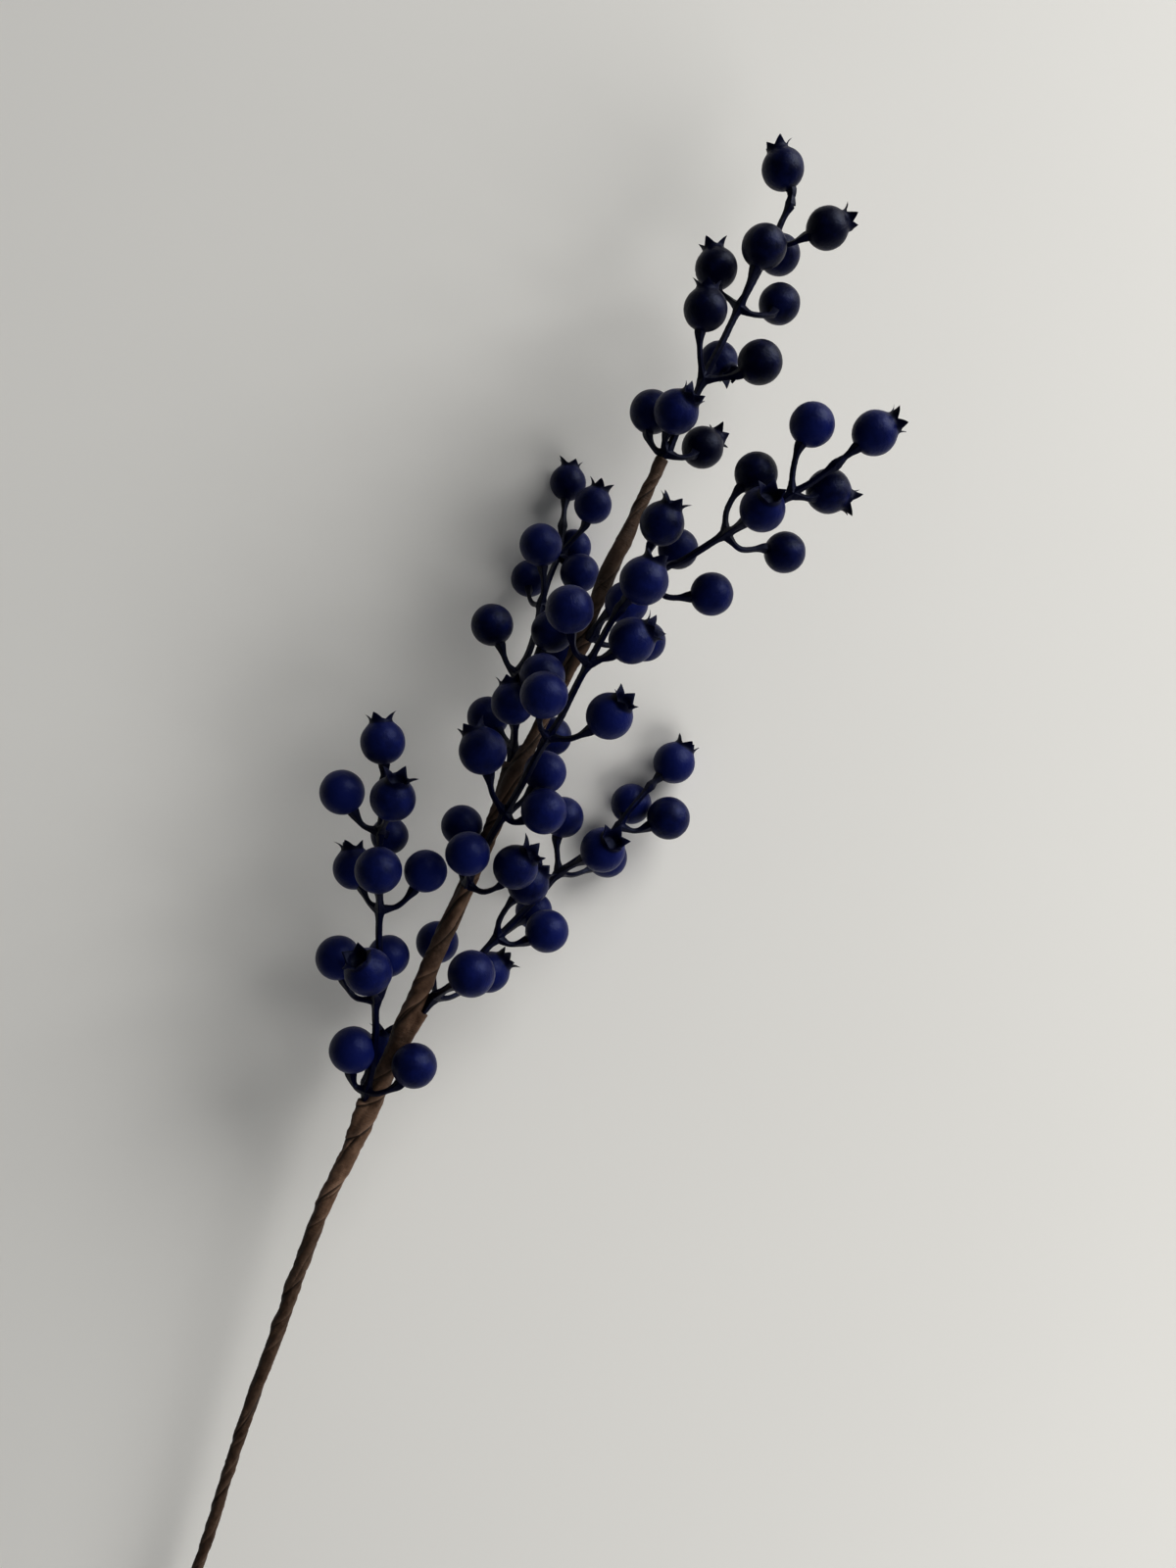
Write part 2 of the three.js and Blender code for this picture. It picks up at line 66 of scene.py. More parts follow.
def seen(place):
    across, along, height = place
    spread = (eye_height - height) / eye_distance
    x = eye_across + (across - eye_across) * spread - middle_across
    y = eye_along + (along - eye_along) * spread - middle_along
    return Vector((x, y, height)) * MM


# Core wire
# Drawn steel wire, 1.3 mm thick, runs up through the stem inside the tape. Only its foot shows, cut off with
# pliers three millimetres below the tape.
stem = [
    (1.5, 36.5, 1.6, 1.6),
    (0.9, 84, 8.5, 1.55),
    (0.3, 131, 16, 1.55),
    (-2.7, 162.6, 19.5, 1.65),
    (-5.1, 203.4, 24, 1.85),
    (-6.7, 235.5, 27.5, 2.15),
    (-5.9, 250, 29.3, 2.3),
    (-5.5, 262, 31, 2.7),
    (-5.4, 276, 32.4, 2.6),
    (-5.2, 290, 34, 2.8),
    (-5.3, 300, 35, 2.6),
    (-5.5, 312, 36, 2.5),
    (-5.1, 322, 37, 2.4),
    (-4.7, 334, 38.3, 2.1),
    (-4.5, 352, 40.2, 2.1),
    (-4.6, 362, 41.2, 2.4),
    (-4.6, 369, 41.9, 2.4),
    (-3.8, 377, 42.8, 1.7),
    (-3.2, 388, 43.8, 1.65),
    (-2.4, 400, 44.6, 1.7),
    (-2, 408, 45, 2),
    (-2.2, 418, 45, 1.7),
    (-2.6, 431, 45, 2.2),
    (-2, 440, 45, 2.05),
    (-1.8, 447, 45, 1.65),
    (-1.3, 458, 45, 1.65),
    (-1.2, 465.5, 45, 1.6),
]
wire_radius = 0.65 * MM
wire_shows = 3 * MM
wire_path_spacing = 4 * MM
curve_steps = 24
stem_line = [seen(point[:3]) for point in stem]


def through(points, spacing):
    """Points at even steps along the centripetal curve through these ones."""
    ends = [points[0] * 2 - points[1], *points, points[-1] * 2 - points[-2]]
    fine = []
    for a, b, c, d in zip(ends, ends[1:], ends[2:], ends[3:]):
        t1 = (b - a).length ** 0.5
        t2 = t1 + (c - b).length ** 0.5
        t3 = t2 + (d - c).length ** 0.5
        for i in range(curve_steps):
            t = t1 + (t2 - t1) * i / curve_steps
            ab = a.lerp(b, t / t1)
            bc = b.lerp(c, (t - t1) / (t2 - t1))
            cd = c.lerp(d, (t - t2) / (t3 - t2))
            early = ab.lerp(bc, t / t2)
            late = bc.lerp(cd, (t - t1) / (t3 - t1))
            fine.append(early.lerp(late, (t - t1) / (t2 - t1)))
    fine.append(points[-1])
    steps = [(q - p).length for p, q in zip(fine, fine[1:])]
    travelled = np.concatenate([[0], np.cumsum(steps)])
    wanted = np.linspace(0, travelled[-1], max(2, round(travelled[-1] / spacing) + 1))
    columns = [np.interp(wanted, travelled, [p[axis] for p in fine]) for axis in range(3)]
    return [Vector(p) for p in zip(*columns)]


def mesh_object(name, vertices, faces=(), edges=()):
    mesh = bpy.data.meshes.new(name)
    mesh.from_pydata([tuple(v) for v in vertices], list(edges), list(faces))
    mesh.update()
    made = bpy.data.objects.new(name, mesh)
    bpy.context.scene.collection.objects.link(made)
    return made


def finished(source, name):
    """The object's evaluated geometry as a plain mesh object of its own, in place of the source."""
    bpy.context.view_layer.update()
    everything = bpy.context.evaluated_depsgraph_get()
    evaluated = source.evaluated_get(everything)
    mesh = bpy.data.meshes.new_from_object(evaluated, preserve_all_data_layers=True, depsgraph=everything)
    mesh.name = name
    bpy.data.objects.remove(source, do_unlink=True)
    made = bpy.data.objects.new(name, mesh)
    bpy.context.scene.collection.objects.link(made)
    return made


def number_input(tree, name, value):
    socket = tree.interface.new_socket(name, in_out="INPUT", socket_type="NodeSocketFloat")
    socket.default_value = value
    return socket


def put(value, socket, tree):
    """A socket is linked in, and any other value is set."""
    if isinstance(value, bpy.types.NodeSocket):
        tree.links.new(value, socket)
    else:
        socket.default_value = value


def add(tree, kind, **inputs):
    """A node with its inputs put in by name."""
    node = tree.nodes.new(kind)
    for name, value in inputs.items():
        put(value, node.inputs[name.replace("_", " ")], tree)
    return node


def tree_with_geometry(name):
    tree = bpy.data.node_groups.new(name, "GeometryNodeTree")
    tree.interface.new_socket("Geometry", in_out="INPUT", socket_type="NodeSocketGeometry")
    tree.interface.new_socket("Geometry", in_out="OUTPUT", socket_type="NodeSocketGeometry")
    return tree


def in_material(tree, geometry, material):
    """Ends the tree with this geometry in this material."""
    dressed = add(tree, "GeometryNodeSetMaterial", Geometry=geometry, Material=material)
    result = tree.nodes.new("NodeGroupOutput")
    tree.links.new(dressed.outputs["Geometry"], result.inputs[0])
    return tree


def new_material(name):
    made = bpy.data.materials.new(name)
    made.use_nodes = True
    made.node_tree.nodes.clear()
    tree = made.node_tree
    shader = tree.nodes.new("ShaderNodeBsdfPrincipled")
    output = tree.nodes.new("ShaderNodeOutputMaterial")
    tree.links.new(shader.outputs["BSDF"], output.inputs["Surface"])
    return made, tree, shader


def colour_ramp(tree, value, stops):
    """A colour for each value, from stops of a position and a colour, or a level of grey."""
    node = add(tree, "ShaderNodeValToRGB", Fac=value)
    elements = node.color_ramp.elements
    elements[0].position = stops[0][0]
    elements[1].position = stops[-1][0]
    for position, colour in stops[1:-1]:
        elements.new(position)
    for stop, (position, colour) in zip(elements, stops):
        stop.color = (*colour, 1) if isinstance(colour, tuple) else (colour, colour, colour, 1)
    return node.outputs["Color"]


def ranged(tree, value, **limits):
    return add(tree, "ShaderNodeMapRange", Value=value, **limits).outputs["Result"]


def noise_at(tree, place, scale, detail, roughness=0.5):
    node = add(tree, "ShaderNodeTexNoise", Vector=place, Scale=scale, Detail=detail, Roughness=roughness)
    return node.outputs["Fac"]


def bumped(tree, height, strength, depth, **under):
    node = add(tree, "ShaderNodeBump", Height=height, Strength=strength, Distance=depth, **under)
    return node.outputs["Normal"]


def wire_steel():
    made, tree, shader = new_material("drawn steel wire")
    place = add(tree, "ShaderNodeTexCoord").outputs["Object"]
    drawn = add(tree, "ShaderNodeMapping", Vector=place, Scale=(9000, 300, 9000)).outputs["Vector"]
    streaks = noise_at(tree, drawn, 1.0, 4.0)
    steel = colour_ramp(tree, streaks, [(0, (0.20, 0.19, 0.18)), (1, (0.50, 0.49, 0.47))])
    put(steel, shader.inputs["Base Color"], tree)
    put(ranged(tree, streaks, To_Min=0.28, To_Max=0.5), shader.inputs["Roughness"], tree)
    put(bumped(tree, streaks, 0.15, 0.05 * MM), shader.inputs["Normal"], tree)
    shader.inputs["Metallic"].default_value = 1.0
    return made


def wire_tree():
    tree = tree_with_geometry("round wire along a path")
    number_input(tree, "Radius", wire_radius)
    given = tree.nodes.new("NodeGroupInput")
    path = add(tree, "GeometryNodeMeshToCurve", Mesh=given.outputs["Geometry"])
    section = add(tree, "GeometryNodeCurvePrimitiveCircle", Radius=given.outputs["Radius"], Resolution=16)
    rod = add(tree, "GeometryNodeCurveToMesh", Curve=path.outputs["Curve"], Fill_Caps=True)
    tree.links.new(section.outputs["Curve"], rod.inputs["Profile Curve"])
    smooth = add(tree, "GeometryNodeSetShadeSmooth", Geometry=rod.outputs["Mesh"])
    return in_material(tree, smooth.outputs["Geometry"], wire_steel())


def steel_wire():
    foot = stem_line[0] + (stem_line[0] - stem_line[1]).normalized() * wire_shows
    run = through([foot, *stem_line[1:-2]], wire_path_spacing)
    rod = mesh_object("wire path", run, edges=[(i, i + 1) for i in range(len(run) - 1)])
    rod.modifiers.new("wire", "NODES").node_group = wire_tree()
    rod = finished(rod, "steel_wire")
    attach(rod, "root")
    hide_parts("core_wire")


steel_wire()


# Sprays
# Six mouldings in navy plastic, each in one shot: a tail that is bound into the tape, a main stalk with
# whorls of stalked berries, and on some berries a crown of five sepals. Each row of a whorl is a berry: its
# middle, its width, its crown's aim (turn and rise in degrees) or None, and the bends of its stalk.
sprays = [
    {
        "name": "spray_tip",
        "main": [
            (-1.3, 457.5, 45), (-1.1, 465.5, 45), (-0.4, 468, 45.3), (-0.3, 474, 45.5), (0.6, 482, 46),
            (0.8, 490.5, 46), (1.5, 500, 46), (2.2, 513, 45), (3.2, 524, 43.5), (4, 534, 42),
            (3.8, 540, 41.5), (4.2, 545, 41.5),
        ],
        "whorls": [
            ((-0.6, 467.5, 45.2), [
                ((-8.9, 476.5, 42), 12, None, [(-3.4, 467, 44.5), (-7.4, 470.2, 43)]),
                ((-2.6, 479.2, 53), 12.3, (64, 30), [(-2.2, 470, 46.5), (-2.7, 473, 48.5)]),
                ((8.1, 472.9, 36), 11.4, (62, -25), [(3, 467.7, 44.5), (6, 469.3, 42.5)]),
            ]),
            ((0.8, 490.5, 46), [
                ((-6.3, 508.9, 51), 12, (108, 10), [(-2.2, 495.5, 48.5), (-5.2, 502.4, 50.3)]),
                ((13.6, 501.2, 48), 12.2, None, [(5, 492.6, 46.5), (9.2, 495.6, 47.4)]),
                ((2.7, 497, 33), 10.6, (-33, 25), [(1.7, 493.2, 40)]),
            ]),
            ((2.2, 513, 45), [
                ((2, 531.5, 51), 12.2, None, [(2.2, 518, 47.5), (2, 523.6, 50)]),
                ((-8, 520.6, 39), 11.5, (121, -5), [(-1.5, 514.2, 43), (-5, 515, 41)]),
                ((12.2, 518.4, 35), 11.2, None, [(6, 512.7, 45), (11.4, 514.8, 41)]),
            ]),
            ((4, 534, 42), [
                ((16.3, 543.2, 44), 11.6, (46, -5), [(8, 534.8, 42.5), (11.4, 538.4, 43.5)]),
                ((6.8, 531.1, 30), 11.2, None, [(5.6, 532.6, 37.5)]),
            ]),
            ((4.2, 545, 41.5), [
                ((-1.7, 553.6, 42), 11.5, (128, 0), [(3, 548.8, 41.5)]),
            ]),
        ],
    },
    {
        "name": "spray_upper_right",
        "main": [
            (-1.4, 400.5, 46.4), (-1, 408, 46.9), (0.3, 412.3, 47.3), (0.9, 417, 47), (2.4, 423, 47.3),
            (5, 428.5, 48.5), (8.2, 434, 51), (11, 437.6, 53), (14.6, 440.6, 55), (18.6, 446, 57.5),
            (23.5, 453, 60), (27.5, 457.6, 62), (31.8, 463, 63.5), (36.2, 470.6, 65), (40.2, 476, 66),
            (44.2, 482.6, 66.5),
        ],
        "whorls": [
            ((0.3, 412.3, 47.3), [
                ((5.5, 424.4, 55), 11.9, None, [(0.4, 415.6, 49), (2.4, 419.8, 52.3)]),
                ((14.6, 416.6, 40), 11, None, [(4, 411.1, 44.5), (9.6, 413.6, 41.5)]),
                ((-6.8, 405, 24), 10, None, [(1.6, 411.4, 42.5), (-2.6, 409.4, 31)]),
            ]),
            ((8.2, 434, 51), [
                ((6, 448.8, 60), 12.2, (84, 20), [(6, 437, 54.5), (5.5, 441.6, 57.5)]),
                ((12.9, 444, 44), 11, None, [(10.5, 436, 48), (12, 438.8, 46)]),
                ((26.5, 436, 50), 11.8, None, [(14.5, 430.4, 51.5), (21, 432.8, 50.5)]),
            ]),
            ((23.5, 453, 60), [
                ((24.8, 472, 57), 11.8, None, [(21.3, 459, 59), (21.9, 465.4, 58)]),
                ((30.3, 463.5, 70), 12.5, (85, 58), [(25.4, 456, 64), (27.6, 459, 67.5)]),
                ((40.8, 454.8, 53), 11.3, None, [(29, 450.8, 58), (35, 453.6, 55)]),
            ]),
            ((36.2, 470.6, 65), [
                ((33.9, 490.8, 66), 12.3, None, [(34, 476.8, 65.5), (33, 483.4, 66)]),
                ((45.4, 475.4, 58), 12.2, (0, -10), [(41, 471.4, 63.5)]),
            ]),
            ((44.2, 482.6, 66.5), [
                ((51, 495.5, 67), 12.4, (50, 5), [(47.2, 488.4, 67)]),
            ]),
        ],
    },
    {
        "name": "spray_front",
        "main": [
            (-5, 324, 38.7), (-4.8, 331.5, 40.3), (-4.9, 334.3, 42), (-4.6, 341, 45), (-3.8, 350, 49.5),
            (-2.8, 356.8, 53), (-2, 363, 56), (-1.3, 370, 59.5), (-0.8, 376, 62.5), (0, 381.2, 65),
            (1, 387, 68), (1.4, 394, 71.5), (1.8, 400, 74.5), (2.3, 404.7, 77), (2.9, 411, 79.5),
            (3.5, 417, 82), (4.3, 422, 84),
        ],
        "whorls": [
            ((-4.9, 334.3, 42), [
                ((-8, 342.2, 53), 12.2, None, [(-5.8, 336.8, 47)]),
                ((-12.6, 348.8, 37), 11.3, None, [(-8.6, 337.6, 40.5), (-11.2, 342.8, 38.5)]),
                ((5.8, 344, 52), 12.3, (64, 22), [(0, 334, 44.5), (4, 338, 49)]),
            ]),
            ((-2.8, 356.8, 53), [
                ((-15.4, 370.4, 60), 13.1, (138, -5), [(-8, 360.2, 56), (-11.4, 365.2, 58.5)]),
                ((3, 371.8, 50), 11.6, None, [(0, 361, 51.5), (1.6, 365.8, 50.5)]),
                ((7, 361.5, 59), 12.5, None, [(0.2, 355.4, 54.5), (3, 357.4, 56.5)]),
            ]),
            ((0, 381.2, 65), [
                ((-5.7, 391.6, 79), 13.1, None, [(-2.6, 382.4, 69), (-4.4, 385.4, 73.5)]),
                ((13.5, 393.3, 71), 12.9, (68, 30), [(5.6, 383, 67), (10, 387.6, 69.5)]),
            ]),
            ((2.3, 404.7, 77), [
                ((-8.5, 416.5, 86), 13.3, None, [(-2.4, 406.2, 80.5), (-5.6, 410.8, 83.5)]),
                ((11, 415.2, 78), 12.8, (50, 15), [(7, 409, 77.5)]),
            ]),
            ((4.3, 422, 84), [
                ((7.6, 432, 87), 13.4, (85, 10), [(5.4, 425.6, 85)]),
            ]),
        ],
    },
    {
        "name": "spray_rear",
        "main": [
            (-6.5, 361, 40), (-7, 368, 40), (-7.8, 373.8, 39.5), (-9, 378, 38.5), (-11, 383, 37.5),
            (-13.3, 389, 36.3), (-15, 393.8, 35), (-14.3, 400, 32.5), (-14.9, 407, 28),
            (-16.3, 414.5, 23.5), (-17.1, 421, 18), (-17.4, 429, 12.5), (-18.6, 434.5, 10),
            (-19.4, 437, 9),
        ],
        "whorls": [
            ((-7.8, 374.2, 39.3), [
                ((-17.8, 379.7, 29), 11.3, None, [(-10, 375.5, 36.5), (-13.4, 377.3, 32.5)]),
                ((-12.9, 386, 48), 11.8, (120, -5), [(-8.6, 377, 42.5), (-10.4, 381.2, 45.5)]),
                ((0.9, 381.8, 27), 10.6, None, [(-6.6, 374.8, 35.5), (-3, 378, 31)]),
            ]),
            ((-15, 393.8, 35), [
                ((-26.8, 404, 35), 11.5, None, [(-18.4, 395.4, 35), (-22.4, 399.6, 35)]),
                ((-10.5, 409, 37), 11.7, None, [(-12.6, 398, 36), (-11.4, 402.6, 36.7)]),
                ((-8.2, 396.3, 52), 12.4, None, [(-13.8, 394.2, 40), (-11.4, 395, 46)]),
            ]),
            ((-16.3, 414.5, 23.5), [
                ((-23, 430, 27), 11.6, None, [(-17.2, 418.5, 24.5), (-19.8, 423.8, 26)]),
                ((-22.3, 420, 6), 9.9, None, [(-18.8, 414, 18), (-20.8, 416, 12.5)]),
                ((-9, 417.5, 20), 10.5, None, [(-13.6, 414.9, 22.5)]),
            ]),
            ((-17.4, 429, 12.5), [
                ((-14.3, 433, 5), 9.6, None, [(-16.2, 430.4, 10)]),
                ((-13.9, 446, 15), 10.2, (90, 0), [(-15.4, 434.6, 13), (-13.8, 439.4, 14.2)]),
                ((-9.9, 427, 14), 10.6, None, [(-15, 428.6, 13)]),
            ]),
            ((-19.4, 437, 9), [
                ((-22.8, 449, 5.2), 9.8, (105, 0), [(-20.4, 440.5, 7.5), (-21.4, 443.6, 6.3)]),
            ]),
        ],
    },
    {
        "name": "spray_lower_left",
        "main": [
            (-7.3, 258, 31.3), (-7.5, 265, 33), (-8.2, 269.8, 34.8), (-9, 275, 36), (-10.5, 280.5, 37),
            (-12.2, 286, 38), (-14.4, 291, 39.5), (-15.6, 294.3, 40.5), (-17.4, 300, 42),
            (-19.8, 306.6, 43.5), (-22.3, 312, 44.5), (-24.6, 318, 45.5), (-27.5, 325, 46.5),
            (-31, 333, 47.5), (-33, 338.3, 48), (-35, 344, 49), (-37.2, 350.5, 50),
        ],
        "whorls": [
            ((-8.2, 269.8, 34.8), [
                ((-16.2, 278.9, 36), 12.8, None, [(-11.4, 269.8, 34.5), (-14.2, 272.8, 35.3)]),
                ((1.4, 281.6, 39), 12.3, None, [(-5.2, 270.2, 38), (-0.8, 274.6, 39.5)]),
                ((-8.8, 281.5, 21), 11, (103, 0), [(-10, 271.5, 29.5), (-9.6, 275.2, 25)]),
            ]),
            ((-15.6, 294.3, 40.5), [
                ((-30.1, 301.1, 40), 12.2, None, [(-21.4, 292.8, 40), (-26, 296, 40)]),
                ((-20.8, 300.8, 52), 13.2, (141, 45), [(-17.2, 296.4, 46)]),
                ((-17.3, 307.1, 33), 11.4, None, [(-14.8, 297.5, 38.5), (-15.6, 301.6, 35.5)]),
            ]),
            ((-24.6, 318, 45.5), [
                ((-35.7, 326, 40), 11.6, (120, -5), [(-28, 318.7, 44), (-31.4, 321.6, 42)]),
                ((-29.3, 328.1, 57), 12.9, None, [(-26.4, 321.4, 51)]),
                ((-17, 333.1, 45), 11.7, None, [(-20.4, 321, 45), (-18.2, 326.2, 45)]),
            ]),
            ((-33, 338.3, 48), [
                ((-47.2, 344.3, 49), 12.3, None, [(-38, 338, 48), (-42.6, 340.8, 48.6)]),
                ((-33.4, 348.2, 60), 12.5, (95, 30), [(-32.8, 341.6, 53.5)]),
                ((-30.2, 338.3, 36), 10.2, None, [(-31.8, 338.3, 42.5)]),
            ]),
            ((-37.2, 350.5, 50), [
                ((-42.2, 361.7, 52), 12.2, (118, 0), [(-39, 355.2, 51)]),
            ]),
        ],
    },
    {
        "name": "spray_lower_right",
        "main": [
            (-3.5, 288, 34.2), (-2.6, 294, 34.8), (-1.7, 298, 35), (-0.9, 301.4, 35.3), (1, 304.5, 34.5),
            (3.6, 309, 33.5), (6, 316, 32), (7.6, 320.8, 30.5), (8.9, 323.8, 29.5), (11, 329, 27.5),
            (13.4, 335.2, 25), (15.6, 341, 22.5), (17.6, 347.3, 20), (20.2, 351.5, 18), (23.5, 356.6, 17),
            (26.2, 362, 16), (28, 366, 15.5), (29, 371, 15), (30.5, 375.8, 13), (31.7, 379.6, 11),
        ],
        "whorls": [
            ((-0.9, 301.4, 35.3), [
                ((6.1, 311.6, 46), 12.9, None, [(0.6, 303.4, 39), (2.8, 306.6, 42.5)]),
                ((10.4, 314, 25), 11.3, (60, 0), [(3, 303, 32), (7, 308, 27.5)]),
                ((-6.2, 316, 22), 11.5, None, [(-1.5, 303, 31), (-4.2, 308.6, 25.5)]),
            ]),
            ((8.9, 323.8, 29.5), [
                ((10.9, 341, 36), 11.4, (68, 5), [(7.5, 328, 31.5), (8.2, 333.6, 33.8)]),
                ((20.9, 330.9, 27), 11.8, None, [(13, 323.5, 29), (17, 326.4, 27.7)]),
                ((15.3, 334.7, 14), 10, None, [(11, 327, 24.5), (13, 330.4, 19)]),
            ]),
            ((17.6, 347.3, 20), [
                ((12.6, 362.1, 19), 11.2, None, [(15.4, 351.4, 19.8), (13.3, 356, 19.2)]),
                ((26.4, 358, 28), 12.3, (70, 50), [(20, 350.2, 22.5), (22.6, 353.4, 25)]),
                ((28.3, 356.5, 6), 11, None, [(21.5, 348.3, 14.5), (25.2, 351.8, 10)]),
            ]),
            ((28, 366, 15.5), [
                ((28.7, 373, 5.8), 11, None, [(28.4, 368, 12)]),
                ((39.9, 373.4, 12), 11.7, None, [(32.6, 366.4, 14.2), (36, 369.4, 12.8)]),
            ]),
            ((31.7, 379.6, 11), [
                ((35.3, 388.3, 6.2), 11.3, (78, 0), [(33, 383, 8.5)]),
            ]),
        ],
    },
]
tail_radius = 0.8 * MM
tail_grows = 6 * MM
main_radius = 1.2 * MM
main_end_radius = 0.95 * MM
stalk_radius = 0.88 * MM
neck_radius_share = 0.29
neck_start, neck_end, neck_curve = 1.8, 0.96, 1.4
stalk_sinks = 0.4
main_spacing, stalk_spacing = 0.5 * MM, 0.4 * MM
whorl_flare, whorl_flare_length = 1.85, 4.2 * MM
whorl_swell, whorl_swell_length = 0.6, 1.9 * MM
flange_share = 0.72
stalk_grain = 0.15 * MM
stalk_faces_kept = 0.42
# Painted shade on the stalks: one moulding in one plastic, the stalks set darker than the berries they lie
# among.
stalk_painted_shade = -0.35
# Painted light and shade for each spray's berries: the tip, upper right and rear sprays set darker, the front
# and lower sprays lighter.
spray_painted_shades = {
    "spray_tip": -0.5, "spray_upper_right": -0.15, "spray_front": 0.25,
    "spray_rear": -0.15, "spray_lower_left": 0.3, "spray_lower_right": 0.1,
}
first_spray_seed = 70
pressed_flat = 0.35 * MM
berry_fullness = 1.035
flash_nub = ((8.4, 492.8, 47.3), (9, 494, 47.6))
flash_nub_radii = (0.55 * MM, 0.35 * MM)


def eased(value, low, high):
    share = min(1, max(0, (value - low) / (high - low)))
    return share * share * (3 - 2 * share)


def aimed(crown):
    turn, rise = (math.radians(angle) for angle in crown)
    return Vector((math.cos(rise) * math.cos(turn), math.cos(rise) * math.sin(turn), math.sin(rise)))


def berry_place(row):
    """A berry's true middle, radius and axis, from its row in a whorl."""
    at, wide, crown, bends = row
    middle = seen(at)
    radius = wide / 2 * (eye_height - at[2]) / eye_distance * MM
    axis = aimed(crown) if crown else (middle - seen(bends[-1])).normalized()
    middle.z = max(middle.z, radius - pressed_flat)
    return middle, radius, axis


def main_stalk(main, starts):
    line = through([seen(point) for point in main], main_spacing)
    tail_end = (seen(main[1]) - seen(main[0])).length
    widths = []
    for i, point in enumerate(line):
        grown = eased(i * main_spacing, tail_end, tail_end + tail_grows)
        full = main_radius + (main_end_radius - main_radius) * i / len(line)
        near = min((point - seen(start)).length for start in starts) / whorl_swell_length
        plain = tail_radius + (full - tail_radius) * grown
        widths.append(plain * (1 + whorl_swell * math.exp(-near * near)))
    return line, widths


def berry_stalk(start, row):
    middle, radius, axis = berry_place(row)
    bends = [seen(point) for point in row[3]]
    line = through([seen(start), *bends, bends[-1].lerp(middle, stalk_sinks)], stalk_spacing)
    neck_radius = neck_radius_share * radius
    widths = []
    for i, point in enumerate(line):
        flare = 1 + (whorl_flare - 1) * (1 - eased(i * stalk_spacing, 0, whorl_flare_length))
        close = 1 - eased((point - middle).length / radius, neck_end, neck_start)
        necked = stalk_radius + (neck_radius - stalk_radius) * close ** neck_curve
        widths.append(max(stalk_radius * flare, necked))
    return line, widths


def network(runs):
    """One mesh of separate lines, with each point's own thickness."""
    points = [point for line, widths in runs for point in line]
    edges = []
    start = 0
    for line, widths in runs:
        edges += [(start + i, start + i + 1) for i in range(len(line) - 1)]
        start += len(line)
    lines = mesh_object("stalk lines", points, edges=edges)
    thickness = lines.data.attributes.new("thickness", "FLOAT", "POINT")
    thickness.data.foreach_set("value", [width for line, widths in runs for width in widths])
    return lines


def stalk_tree(plastic):
    tree = tree_with_geometry("moulded stalks along paths")
    number_input(tree, "Flange share", flange_share)
    given = tree.nodes.new("NodeGroupInput")
    path = add(tree, "GeometryNodeMeshToCurve", Mesh=given.outputs["Geometry"])
    width = add(tree, "GeometryNodeInputNamedAttribute", Name="thickness")
    flange = given.outputs["Flange share"]
    section = add(tree, "GeometryNodeCurveStar", Points=4, Inner_Radius=flange, Outer_Radius=1.0)
    rods = add(tree, "GeometryNodeCurveToMesh", Curve=path.outputs["Curve"], Fill_Caps=True)
    tree.links.new(section.outputs["Curve"], rods.inputs["Profile Curve"])
    tree.links.new(width.outputs["Attribute"], rods.inputs["Scale"])
    return in_material(tree, rods.outputs["Mesh"], plastic)


# A berry's outline and its crown's, in shares of its radius: how far out from its axis, and up along it.
berry_columns = 60
plain_rows, crowned_rows, sepal_rows = 19, 14, 7
pole_gap = 0.09
crown_starts_at = 46
sepals = 5
sepal_lengths, sepal_curls, sepal_leans = (0.8, 1.12), (0.4, 1.7), (-0.2, 0.2)
sepal_narrows, sepal_thins, sepal_cups = 0.3, 0.5, 0.04
crown_shoulder = [(0.615, 0.80), (0.545, 0.87)]
crown_neck = (0.515, 0.94)
crown_rise = [(0.0, 0.0), (-0.005, 0.07), (0.02, 0.15), (0.06, 0.23), (0.12, 0.31), (0.2, 0.375)]
crown_collar = 0.2
sepal_half_share = 0.98
sepal_thickness = 0.1
cup = [(0.37, 0.64), (0.14, 0.67)]
cup_middle = 0.70
berry_lumps = 0.012
crowned_kinds, plain_kinds = 5, 3


def ball_outline(crowned):
    """From the stalk's pole up the berry's side to its crown's neck, or to its other pole."""
    foot = pole_gap - math.pi / 2
    if crowned:
        angles = np.linspace(foot, math.radians(crown_starts_at), crowned_rows)
    else:
        angles = np.linspace(foot, -foot, plain_rows)
    side = [(math.cos(angle), math.sin(angle)) for angle in angles]
    return side + [*crown_shoulder, crown_neck] if crowned else side


def sepal_point(share, length, curl):
    """Where the sepal's middle line is at this share of its length, measured from the crown's neck."""
    reach = share * (len(crown_rise) - 1) * length
    step = min(len(crown_rise) - 2, int(reach))
    part = reach - step
    out = crown_rise[step][0] + (crown_rise[step + 1][0] - crown_rise[step][0]) * part
    up = crown_rise[step][1] + (crown_rise[step + 1][1] - crown_rise[step][1]) * part
    return crown_neck[0] + out * curl, crown_neck[1] + up


